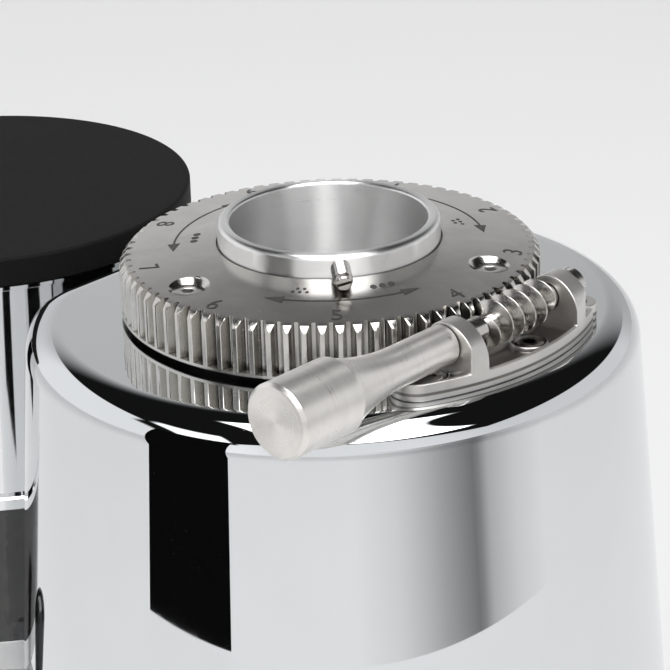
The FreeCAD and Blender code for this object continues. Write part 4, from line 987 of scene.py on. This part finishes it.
class GRINDER_OT_markings(bpy.types.Operator):
    """Lays the numbers, the curved arrows and the fine and coarse dots on the dial's face"""
    bl_idname = "grinder.markings"
    bl_label = "Dial markings"

    LIFT = 0.07 * MM
    NUMERAL_STEP = 39
    NUMERAL_FIVE = 44.5
    ARROW_TURNS = (47.5, 167.5, -72.5)
    ARROW_SPAN = 58
    DOT_TURN = 17
    DOT_INSET = 5.6 * MM
    DOT_STEPS = 20

    def lay(self, sizes, radius, angle):
        """A place just above the dial's face."""
        return radius * math.cos(angle), radius * math.sin(angle), dial_level(sizes, radius) + self.LIFT

    def add_numeral(self, shape, sizes, digit):
        words = bpy.data.curves.new("numeral", "FONT")
        words.body = str(digit)
        words.align_x = "CENTER"
        words.resolution_u = 6
        holder = bpy.data.objects.new("numeral", words)
        flat = bpy.data.meshes.new_from_object(holder)
        low = min(corner.co.y for corner in flat.vertices)
        high = max(corner.co.y for corner in flat.vertices)
        factor = sizes.numeral_height / (high - low)
        angle = math.radians(self.NUMERAL_FIVE + (5 - digit) * self.NUMERAL_STEP)
        made = []
        for corner in flat.vertices:
            radius = sizes.numeral_circle - (corner.co.y - (low + high) / 2) * factor
            across = corner.co.x * factor * 0.95
            made.append(shape.verts.new(self.lay(sizes, radius, angle + across / sizes.numeral_circle)))
        for face in flat.polygons:
            shape.faces.new([made[index] for index in face.vertices])
        bpy.data.objects.remove(holder)
        bpy.data.curves.remove(words)
        bpy.data.meshes.remove(flat)

    def add_arrow(self, shape, sizes, middle):
        half = math.radians(self.ARROW_SPAN / 2)
        head = 5.2 * MM / sizes.arrow_circle
        line = 0.28 * MM
        barb = 1.75 * MM
        steps = 40
        near = []
        far = []
        for step in range(steps + 1):
            angle = middle - (half - head) + 2 * (half - head) * step / steps
            near.append(shape.verts.new(self.lay(sizes, sizes.arrow_circle - line, angle)))
            far.append(shape.verts.new(self.lay(sizes, sizes.arrow_circle + line, angle)))
        for step in range(steps):
            shape.faces.new((near[step], far[step], far[step + 1], near[step + 1]))
        for side in (-1, 1):
            base = middle + side * (half - head)
            tip = shape.verts.new(self.lay(sizes, sizes.arrow_circle, middle + side * half))
            corners = [shape.verts.new(self.lay(sizes, sizes.arrow_circle + barb * end, base - side * 0.01))
                       for end in (-1, 1)]
            shape.faces.new((*corners, tip))

    def add_dots(self, shape, sizes, middle, spots, size):
        for out, along in spots:
            ring = []
            for step in range(self.DOT_STEPS):
                turn_angle = math.tau * step / self.DOT_STEPS
                radius = sizes.arrow_circle - self.DOT_INSET + out + size * math.sin(turn_angle)
                angle = middle + (along + size * math.cos(turn_angle)) / sizes.arrow_circle
                ring.append(shape.verts.new(self.lay(sizes, radius, angle)))
            shape.faces.new(ring)

    def execute(self, context):
        sizes = context.scene.grinder_dial
        shape = bmesh.new()
        for digit in range(1, 10):
            self.add_numeral(shape, sizes, digit)
        small = [(0.9 * MM, -2.2 * MM), (0.9 * MM, 0), (0.9 * MM, 2.2 * MM), (-0.9 * MM, -1.1 * MM),
                 (-0.9 * MM, 1.1 * MM)]
        large = [(0, -3 * MM), (0, 0), (0, 3 * MM)]
        for degrees in self.ARROW_TURNS:
            middle = math.radians(degrees)
            self.add_arrow(shape, sizes, middle)
            self.add_dots(shape, sizes, middle - math.radians(self.DOT_TURN), small, 0.55 * MM)
            self.add_dots(shape, sizes, middle + math.radians(self.DOT_TURN), large, 1.05 * MM)
        mesh = bpy.data.meshes.new("dial_markings")
        shape.to_mesh(mesh)
        shape.free()
        face_up(mesh)
        new_piece("dial_markings", mesh, "dial", "dial_steel", finish="marking", place=ON_BURR_AXIS)
        return {"FINISHED"}


class GRINDER_OT_throat(bpy.types.Operator):
    """Turns the throat collar with its rounded rim and finishes the funnel under it"""
    bl_idname = "grinder.throat"
    bl_label = "Throat collar"

    def execute(self, context):
        sizes = context.scene.grinder_throat
        low = COLLAR_LOW.z
        high = COLLAR_HIGH.z
        corners = [(sizes.bore, low, 0), (sizes.outer, low, 0), (sizes.outer, high, sizes.lip),
                   (sizes.bore, high, sizes.lip * 0.55)]
        mesh = turned_mesh("throat_ring", corners, steps=256, parts=10)
        even_normals(new_piece("throat_ring", mesh, "dial", "collar_aluminium", replaced=["throat_collar"],
                               place=ON_BURR_AXIS))
        dress("upper_carrier", "funnel_aluminium")
        return {"FINISHED"}


class GRINDER_OT_stud(bpy.types.Operator):
    """Threads the small stud that holds the hopper"""
    bl_idname = "grinder.stud"
    bl_label = "Hopper stud"

    DROOP = math.radians(4)
    SLOT_TURN = math.radians(-76)
    THREAD_DEPTH = 0.6 * MM
    STEPS = 48
    THREAD_SHARP = 30

    def execute(self, context):
        sizes = context.scene.grinder_throat
        low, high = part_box("hopper_stud")
        level = (low.z + high.z) / 2
        start = sizes.outer - 2 * MM
        full = 12 * MM
        core = sizes.stud_radius - self.THREAD_DEPTH
        broken = 0.3 * MM
        shape = bmesh.new()
        add_turned(shape, rounded([(0, 0, 0), (core, 0, 0), (core, full - broken, 0),
                                   (core - broken, full, 0), (0, full, 0)]), self.STEPS)
        way = Vector((math.cos(sizes.stud_turn), math.sin(sizes.stud_turn), -math.tan(self.DROOP)))
        way.normalize()
        spot = Vector((0, BURR_AXIS.y, level)) + way * start
        spot.z = level
        place = Matrix.Translation(spot) @ way.to_track_quat("Z", "Y").to_matrix().to_4x4()
        mesh = to_mesh("threaded_stud", shape, self.THREAD_SHARP)
        stud = new_piece("threaded_stud", mesh, "dial", "turned_steel", finish="worm_steel",
                         replaced=["hopper_stud"], place=place)
        slot = bmesh.new()
        bmesh.ops.create_cube(slot, size=1, matrix=Matrix.Translation((0, 0, full))
                              @ Matrix.Rotation(self.SLOT_TURN, 4, "Z")
                              @ Matrix.Diagonal((0.8 * MM, 8 * MM, 2.4 * MM, 1)))
        cut_away(stud, to_mesh("driving_slot", slot))
        self.add_ridge(stud.data, sizes, core, full - 1.4 * MM)
        return {"FINISHED"}

    def add_ridge(self, mesh, sizes, core, end):
        """Winds the thread's ridge round the stud."""
        crest = 0.08 * MM
        foot = sizes.stud_pitch * 0.44
        outer = sizes.stud_radius - 0.04 * MM
        sunk = core - 0.05 * MM
        section = [(sunk, -foot), (outer, -crest), (outer, crest), (sunk, foot)]
        start = 0.5 * MM
        turns = (end - start - foot) / sizes.stud_pitch
        shape = bmesh.new()
        shape.from_mesh(mesh)
        add_thread(shape, section, sizes.stud_pitch, start, turns, self.STEPS, fade=16)
        bmesh.ops.recalc_face_normals(shape, faces=shape.faces)
        shape.to_mesh(mesh)
        shape.free()
        mesh.shade_smooth()
        mesh.set_sharp_from_angle(angle=math.radians(self.THREAD_SHARP))


def along_worm():
    """Places a piece drawn along Z on the worm's axis, its Z towards the knob."""
    return Matrix.Translation((0, WORM_AXIS.y, WORM_AXIS.z)) @ Matrix.Rotation(math.pi / 2, 4, "Y")


class GRINDER_OT_worm(bpy.types.Operator):
    """Turns the worm's shaft, sweeps its thread and turns its knob"""
    bl_idname = "grinder.worm"
    bl_label = "Worm and knob"

    TURNS = 5.5
    SHIFT = 4.8 * MM
    STEPS = 72

    def execute(self, context):
        sizes = context.scene.grinder_drive
        self.draw_shaft(sizes)
        self.draw_knob(sizes)
        dress("worm_end_nut", "nut_steel", edge=0.3 * MM)
        return {"FINISHED"}

    def draw_shaft(self, sizes):
        half = sizes.thread_pitch * self.TURNS / 2
        low = -self.SHIFT - half - 1 * MM
        high = half - self.SHIFT + 1 * MM
        shape = bmesh.new()
        journal = sizes.journal_radius
        core = sizes.core_radius
        corners = [(0, SHAFT_LOW.x, 0), (journal, SHAFT_LOW.x, 0.4 * MM), (journal, low, 0.15 * MM),
                   (core, low, 0.2 * MM), (core, high, 0.2 * MM), (journal, high, 0.15 * MM),
                   (journal, SHAFT_HIGH.x, 0.2 * MM), (0, SHAFT_HIGH.x, 0)]
        add_turned(shape, rounded(corners), self.STEPS)
        module = sizes.thread_pitch / math.pi
        lean = FLANK_LEAN
        waist = sizes.thread_pitch / 4 - 0.42 * MM
        foot = waist + 1.25 * module * lean
        crest = waist - module * lean
        sunk = core / 8
        soft = 0.14 * MM
        outer = sizes.thread_radius
        section = [(core - sunk, -foot - sunk * lean), (outer - soft, -crest - soft * lean),
                   (outer - soft * 0.3, -crest * 0.75), (outer, -crest * 0.25), (outer, crest * 0.25),
                   (outer - soft * 0.3, crest * 0.75), (outer - soft, crest + soft * lean),
                   (core - sunk, foot + sunk * lean)]
        add_thread(shape, section, sizes.thread_pitch, -self.SHIFT - half, self.TURNS, self.STEPS, fade=24)
        mesh = to_mesh("worm_spindle", shape, sharp=40)
        even_normals(new_piece("worm_spindle", mesh, "worm", "turned_steel", finish="worm_steel",
                               replaced=["worm_shaft"], place=along_worm()))

    def draw_knob(self, sizes):
        start = KNOB_LOW.x
        end = KNOB_HIGH.x
        grip = end - sizes.grip_length
        groove = 0.6 * MM
        throat = sizes.grip_radius - groove
        straight = start + 18.5 * MM
        rise = throat - sizes.shank_radius
        run = grip - straight
        hollow = (run * run + rise * rise) / (2 * rise)
        corners = [(sizes.journal_radius, start, 0), (sizes.shank_radius, start, 0.5 * MM)]
        sweep = math.asin(run / hollow)
        steps = 18
        for step in range(steps + 1):
            angle = sweep * step / steps
            corners.append((sizes.shank_radius + hollow * (1 - math.cos(angle)),
                            straight + hollow * math.sin(angle), 0))
        chamfer = 1.0 * MM
        outer = sizes.grip_radius
        corners += [(throat, grip + groove, 0.1 * MM), (outer, grip + groove, 0.25 * MM),
                    (outer, end - chamfer, 0.3 * MM), (outer - chamfer, end, 0.3 * MM), (outer * 0.5, end, 0),
                    (0, end, 0), (0, SHAFT_HIGH.x, 0), (sizes.journal_radius, SHAFT_HIGH.x, 0)]
        mesh = turned_mesh("knob", corners, steps=160, sharp=32)
        even_normals(new_piece("knob", mesh, "worm", "turned_steel", finish="knob_steel",
                               replaced=["adjuster_knob"], place=along_worm()))


class GRINDER_OT_bracket(bpy.types.Operator):
    """Finishes the bracket that carries the worm"""
    bl_idname = "grinder.bracket"
    bl_label = "Worm bracket"

    def execute(self, context):
        dress("worm_bracket", "bracket_nickel", edge=0.4 * MM, parts=3)
        return {"FINISHED"}


class GRINDER_OT_screws(bpy.types.Operator):
    """Draws the visible countersunk screws with their hexagon sockets"""
    bl_idname = "grinder.screws"
    bl_label = "Countersunk screws"

    HEAD = 4.5 * MM
    SOCKET = 1.6 * MM
    DEPTH = 1.6 * MM
    STEPS = 48
    BRACKET_CIRCLE = 66 * MM
    BRACKET_TURNS = (65.5, 96.0)

    def draw_one(self, shape, place, long_shank):
        made = bmesh.new()
        head = self.HEAD
        soft = 0.2 * MM
        shank = 2 * MM
        crown = 0.02 * MM
        profile = [(0, -long_shank), (shank, -long_shank), (shank, -2.9 * MM), (head, -0.4 * MM),
                   (head, -soft), (head - soft * 0.4, -soft * 0.3), (head - soft, 0), (head * 0.55, crown)]
        rings = turned_rings(made, profile, self.STEPS)
        for grow, level in ((0.12 * MM, crown), (0, -0.1 * MM), (0, -self.DEPTH)):
            rings.append([made.verts.new((*self.socket_point(step, self.SOCKET + grow), level))
                          for step in range(self.STEPS)])
        rings.append([made.verts.new((0, 0, -self.DEPTH - 0.5 * MM))])
        add_skin(made, rings)
        bmesh.ops.transform(made, matrix=place, verts=made.verts)
        join_part(shape, made)

    def socket_point(self, step, radius):
        """A point of a hexagon whose flats lie at the radius."""
        angle = math.tau * step / self.STEPS
        within = (angle % (math.pi / 3)) - math.pi / 6
        reach = radius / math.cos(within)
        return reach * math.cos(angle), reach * math.sin(angle)

    def around(self, circle, angle, level, spin):
        """A place on a circle round the burr axis, the screw's socket turned by the spin."""
        spot = (circle * math.cos(angle), BURR_AXIS.y + circle * math.sin(angle), level)
        return Matrix.Translation(spot) @ Matrix.Rotation(spin, 4, "Z")

    def draw_group(self, name, node, body, places, shank):
        shape = bmesh.new()
        for place in places:
            self.draw_one(shape, place, shank)
        mesh = to_mesh(name, shape, sharp=32)
        new_piece(name, mesh, body, "screw_steel", replaced=[node])

    def execute(self, context):
        dial = context.scene.grinder_dial
        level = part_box("dial_screws")[1].z
        places = []
        for index in range(3):
            angle = dial.screw_turn + math.tau * index / 3
            places.append(self.around(dial.screw_circle, angle, level, 0.3 + index))
        self.draw_group("dial_screw_set", "dial_screws", "dial", places, 9 * MM)
        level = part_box("bracket_screws")[1].z
        places = []
        for degrees in self.BRACKET_TURNS:
            angle = math.radians(degrees)
            places.append(self.around(self.BRACKET_CIRCLE, angle, level, angle * 3))
        self.draw_group("bracket_screw_set", "bracket_screws", "frame", places, 7.4 * MM)
        low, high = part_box("fork_screws")
        places = []
        for side in (low.x + self.HEAD, high.x - self.HEAD):
            places.append(Matrix.Translation((side, low.y, (low.z + high.z) / 2))
                          @ Matrix.Rotation(math.pi / 2, 4, "X"))
        self.draw_group("fork_screw_set", "fork_screws", "frame", places, 9 * MM)
        return {"FINISHED"}


class GRINDER_OT_doser(bpy.types.Operator):
    """Turns the doser's lid and finishes its collar, ledge, window, base and spout"""
    bl_idname = "grinder.doser"
    bl_label = "Doser"

    def execute(self, context):
        sizes = context.scene.grinder_doser
        wall = 3 * MM
        soft = 0.4 * MM
        rim_low = LID_LOW.z + 5 * MM
        top = LID_HIGH.z
        plug = sizes.plug_radius
        lid = sizes.lid_radius
        corners = [(plug - wall, LID_LOW.z, soft), (plug, LID_LOW.z, soft), (plug, rim_low, 0),
                   (lid, rim_low, 0.5 * MM), (lid, top, sizes.lid_edge), (lid * 0.93, top, 0),
                   (lid * 0.5, top, 0), (0, top, 0), (0, top - wall, 0), (plug - wall, top - wall, 0)]
        mesh = turned_mesh("lid_cap", corners, steps=256, parts=6)
        even_normals(new_piece("lid_cap", mesh, "lid", "black_plastic", replaced=["doser_lid"],
                               place=Matrix.Translation((0, DOSER_AXIS.y, 0))))
        dress("doser_collar", "doser_steel")
        dress("doser_ledge", "doser_steel")
        dress("doser_chamber", "smoked_plastic")
        dress("doser_base", "cast_aluminium", edge=0.5 * MM)
        dress("outlet_spout", "cast_aluminium", edge=0.4 * MM)
        dress("doser_saddle", "cast_aluminium", edge=0.8 * MM, parts=3)
        dress("star_wheel", "black_plastic", edge=0.25 * MM)
        dress("star_axle", "axle_steel", edge=0.3 * MM)
        return {"FINISHED"}


class GRINDER_OT_lever(bpy.types.Operator):
    """Finishes the doser's lever and its grip"""
    bl_idname = "grinder.lever"
    bl_label = "Doser lever"

    def execute(self, context):
        dress("doser_lever", "fork_steel", edge=0.7 * MM, parts=3)
        dress("lever_grip", "grip_plastic")
        return {"FINISHED"}


class GRINDER_OT_fork(bpy.types.Operator):
    """Finishes the fork that holds the portafilter"""
    bl_idname = "grinder.fork"
    bl_label = "Portafilter fork"

    def execute(self, context):
        dress("portafilter_fork", "fork_steel", edge=0.9 * MM, parts=3)
        return {"FINISHED"}


class GRINDER_OT_switch(bpy.types.Operator):
    """Finishes the rocker switch and its bezel"""
    bl_idname = "grinder.switch"
    bl_label = "Switch"

    def execute(self, context):
        dress("switch_bezel", "black_plastic", edge=0.5 * MM, parts=3)
        dress("switch_rocker", "black_plastic", edge=0.4 * MM, parts=3)
        return {"FINISHED"}


class GRINDER_OT_underside(bpy.types.Operator):
    """Finishes the base plate, the feet and the cord gland"""
    bl_idname = "grinder.underside"
    bl_label = "Underside"

    def execute(self, context):
        dress("base_plate", "plate_steel")
        dress("rubber_feet", "rubber", edge=0.8 * MM, parts=3)
        dress("cord_gland", "rubber", edge=0.4 * MM)
        return {"FINISHED"}


class GRINDER_OT_works(bpy.types.Operator):
    """Finishes the burrs, carriers, motor and the other inner pieces"""
    bl_idname = "grinder.works"
    bl_label = "Inner works"

    def execute(self, context):
        # The packed solids' own plain materials share these names, so finishes are not compared by name.
        made = list(FINISHES.values())
        for row in frame["record"]["subparts"]:
            materials = frame["nodes"][row["node"]].data.materials
            if not materials or materials[0] not in made:
                dress(row["node"], row["material_slot"])
        return {"FINISHED"}


class GRINDER_OT_stage(bpy.types.Operator):
    """Sets the pale floor, the soft lamps, the room's light and the camera"""
    bl_idname = "grinder.stage"
    bl_label = "Studio"

    AIM_DROP = 3.4 * MM
    CARD_DISTANCE = 0.62
    CARD_FOOT = 0.001
    CARD_STEPS = 48
    FLOOR_LEVEL = -0.0005
    FLOOR_RADII = (0.4, 1.2, 4, 14, 40)
    FLOOR_STEPS = 64
    LAMP_TARGET = 0.26
    SENSOR_WIDTH = 36

    def execute(self, context):
        settings = context.scene.grinder_stage
        context.scene.view_settings.view_transform = "Standard"
        self.back = self.camera_back(settings)
        self.ahead = Vector((-self.back.x, -self.back.y, 0)).normalized()
        self.side = Vector((self.ahead.y, -self.ahead.x, 0))
        self.lay_floor(settings)
        self.light_room(context, settings)
        self.hang_lamps()
        self.stand_cards()
        self.set_camera(context, settings)
        return {"FINISHED"}

    def camera_back(self, settings):
        """The direction from the dial to the camera."""
        flat = math.cos(settings.elevation)
        return Vector((math.sin(settings.azimuth) * flat, -math.cos(settings.azimuth) * flat,
                       math.sin(settings.elevation)))

    def lay_floor(self, settings):
        shape = bmesh.new()
        profile = [(radius, self.FLOOR_LEVEL) for radius in (0, *self.FLOOR_RADII)]
        add_turned(shape, profile, self.FLOOR_STEPS, closed=False)
        mesh = to_mesh("floor", shape)
        face_up(mesh)
        floor = put_in_scene("floor", mesh)
        material, finish = new_finish("pale_floor")
        place = finish.point()
        cloud = finish.noise(place, 3, 2)
        shade = finish.blend(cloud, scaled(settings.floor, 0.985), settings.floor)
        finish.surface(Base_Color=shade, Roughness=0.75, Specular_IOR_Level=0.2)
        mesh.materials.append(material)

    def light_room(self, context, settings):
        """An even pale room for plain light; metal sees its walls, panels, pillar and windows instead."""
        world = bpy.data.worlds.new("room")
        context.scene.world = world
        room = Finish(world)
        way = room.node("ShaderNodeTexCoord", output=0)
        _, _, height = room.parts(way)

        def facing(direction):
            return room.node("ShaderNodeVectorMath", {"operation": "DOT_PRODUCT"}, {0: way, 1: direction},
                             output=1)

        forward = facing(self.ahead)
        across = facing(self.side)
        # A grey wall ahead of the camera, darker towards the ceiling and to the right.
        far_wall = 0.66 * (1 - height.step(0.2, 0.95)) * (1 - 0.3 * across.step(-0.02, 0.25))
        # Pale panels to both sides and behind the camera, with slanting tops, broken by one dark pillar.
        front_top = 0.1 * across - 0.67 * forward
        left_top = 0.18 * forward - 0.75 * across
        panel_top = front_top.worked("MAXIMUM", left_top).worked("MAXIMUM", 0.52 * across)
        pillar = across.step(-0.88, -0.85) * (1 - across.step(-0.56, -0.53)) * height.step(0.37, 0.39)
        pillar = pillar * (1 - forward.step(-0.12, -0.04))
        lit = 0.76 + 0.16 * (1 - forward.step(-0.9, -0.4)) + 0.2 * (1 - across.step(-0.6, -0.3))
        panels = lit * (1 - (height - panel_top).step(-0.012, 0.012)) * (1 - pillar)
        # The dark ceiling shows above them, with a bright window and a narrow slit on the left.
        is_far = forward.step(0.66, 0.93)
        wall = 0.008 + far_wall * is_far + panels * (1 - is_far)
        window = across.step(-0.35, -0.31) * (1 - (across + height).step(1.24, 1.28))
        window = window * height.step(0.58, 0.61) * (1 - forward.step(0.1, 0.2))
        slit = across.step(-0.8, -0.78) * (1 - across.step(-0.58, -0.56)) * height.step(0.42, 0.45)
        slit = slit * (1 - height.step(0.64, 0.67)) * (1 - forward.step(-0.2, -0.1))
        seen = wall + 5.5 * window + 1.6 * slit
        # Reflections see all of this; the camera and plain light see the even room.
        path = room.node("ShaderNodeLightPath").socket.node
        glossy = Shade(room, path.outputs["Is Glossy Ray"])
        through = Shade(room, path.outputs["Is Transmission Ray"])
        mirror = (glossy + through).worked("MINIMUM", 1.0)
        tint = room.blend(mirror, (settings.daylight,) * 3, room.joined(seen, seen * 1.005, seen * 1.02))
        sky = room.node("ShaderNodeBackground", {}, {"Color": tint, "Strength": 1.0})
        room.node("ShaderNodeOutputWorld", {}, {"Surface": sky})

    def hang_lamps(self):
        ahead = self.ahead
        side = self.side
        middle = Vector((0, BURR_AXIS.y, self.LAMP_TARGET))
        self.add_lamp("overhead_softbox", middle + UP * 1.1 + ahead * 0.15, middle, (0.75, 0.45), 4.5)
        self.add_lamp("front_softbox", middle - ahead * 0.75 + side * 0.4 + UP * 0.8, middle, (0.8, 0.4), 2.5)
        self.add_lamp("side_softbox", middle - ahead * 0.7 - side * 0.75 + UP * 0.75, middle, (0.5, 0.5), 1.5)

    def add_lamp(self, name, spot, target, size, power):
        lamp = bpy.data.lights.new(name, "AREA")
        lamp.shape = "RECTANGLE"
        lamp.size, lamp.size_y = size
        lamp.energy = power
        item = put_in_scene(name, lamp)
        facing = (target - spot).to_track_quat("-Z", "Y").to_matrix().to_4x4()
        item.matrix_world = Matrix.Translation(spot) @ facing
        item.visible_glossy = False

    def stand_cards(self):
        """Two curved cards stand beside the camera, seen only in polished metal."""
        self.add_card("dark_card", -66.3, -36.4, 0.53, ((0, 1), (1, 1)))
        self.add_card("soft_card", 5, 73, 0.3, ((0, 0), (0.2, 0.15), (0.31, 0.32), (0.45, 0.56), (0.6, 0.77),
                                                (0.63, 0.7), (0.68, 0.44), (0.83, 0.17), (1, 0)))

    def add_card(self, name, start, end, tall, veil):
        """A card on an arc between two angles right of the camera, as dense as its veil's stops say."""
        shape = bmesh.new()
        rows = [[], []]
        steps = self.CARD_STEPS
        for step in range(steps + 1):
            angle = math.radians(start + (end - start) * step / steps)
            out = Matrix.Rotation(angle, 3, "Z") @ -self.ahead
            foot = Vector((0, BURR_AXIS.y, 0)) + out * self.CARD_DISTANCE
            for row, level in zip(rows, (self.CARD_FOOT, tall)):
                row.append(shape.verts.new(foot + UP * level))
        add_skin(shape, rows, closed_round=False)
        across = shape.loops.layers.uv.new("across")
        for face in shape.faces:
            for loop in face.loops:
                row = rows[0] if loop.vert in rows[0] else rows[1]
                loop[across].uv = (row.index(loop.vert) / steps, 0)
        mesh = to_mesh(name, shape)
        card = put_in_scene(name, mesh)
        material, finish = new_finish(name)
        share_across = finish.node("ShaderNodeUVMap", {"uv_map": "across"})
        dense = finish.node("ShaderNodeValToRGB", {"stops": [(spot, (value,) * 3) for spot, value in veil]},
                            {"Fac": finish.parts(share_across)[0]})
        dark = finish.node("ShaderNodeBsdfDiffuse", {}, {"Color": (0.004, 0.004, 0.004)})
        clear = finish.node("ShaderNodeBsdfTransparent")
        mixed = finish.node("ShaderNodeMixShader", {}, {0: dense, 1: clear, 2: dark})
        finish.node("ShaderNodeOutputMaterial", {}, {"Surface": mixed})
        mesh.materials.append(material)
        card.visible_camera = False
        card.visible_diffuse = False
        card.visible_shadow = False

    def set_camera(self, context, settings):
        """The camera looks at the dial's edge, which lies off the picture's middle."""
        target = Vector((0, BURR_AXIS.y, GEAR_HIGH.z - self.AIM_DROP))
        place = target + self.back * settings.distance
        right = UP.cross(self.back).normalized()
        look = Matrix((right, self.back.cross(right), self.back)).transposed()
        roll = Matrix.Rotation(settings.roll, 3, "Z")
        seen = Vector(((settings.aim_x - 0.5) / settings.focal, (0.5 - settings.aim_y) / settings.focal, -1))
        aim = seen.normalized().rotation_difference(Vector((0, 0, -1))).to_matrix()
        lens = bpy.data.cameras.new("photo_camera")
        lens.sensor_fit = "HORIZONTAL"
        lens.sensor_width = self.SENSOR_WIDTH
        lens.lens = settings.focal * self.SENSOR_WIDTH
        lens.clip_start = 0.01
        lens.clip_end = 60
        camera = put_in_scene("photo_camera", lens)
        camera.matrix_world = Matrix.Translation(place) @ (look @ roll @ aim).to_4x4()
        context.scene.camera = camera


class GRINDER_PT_looks(bpy.types.Panel):
    """Lists the grinder's pieces and their sizes"""
    bl_idname = "GRINDER_PT_looks"
    bl_label = "Burr coffee grinder"
    bl_space_type = "VIEW_3D"
    bl_region_type = "UI"
    bl_category = "Grinder"

    def draw(self, context):
        for operator in OPERATORS:
            self.layout.operator(operator.bl_idname)
        for name, group in GROUPS.items():
            box = self.layout.box()
            box.label(text=group.__doc__)
            for size in group.__annotations__:
                box.prop(getattr(context.scene, name), size)


OPERATORS = (GRINDER_OT_casing, GRINDER_OT_dial, GRINDER_OT_markings, GRINDER_OT_throat, GRINDER_OT_stud,
             GRINDER_OT_worm, GRINDER_OT_bracket, GRINDER_OT_screws, GRINDER_OT_doser, GRINDER_OT_lever,
             GRINDER_OT_fork, GRINDER_OT_switch, GRINDER_OT_underside, GRINDER_OT_works, GRINDER_OT_stage)


def register():
    for item in (*GROUPS.values(), *OPERATORS, GRINDER_PT_looks):
        bpy.utils.register_class(item)
    for name, group in GROUPS.items():
        setattr(bpy.types.Scene, name, PointerProperty(type=group))


def unregister():
    for name in GROUPS:
        delattr(bpy.types.Scene, name)
    for item in (GRINDER_PT_looks, *reversed(OPERATORS), *reversed(GROUPS.values())):
        bpy.utils.unregister_class(item)


def main():
    register()
    for operator in OPERATORS:
        group, name = operator.bl_idname.split(".")
        getattr(getattr(bpy.ops, group), name)()


if __name__ == "__main__":
    main()
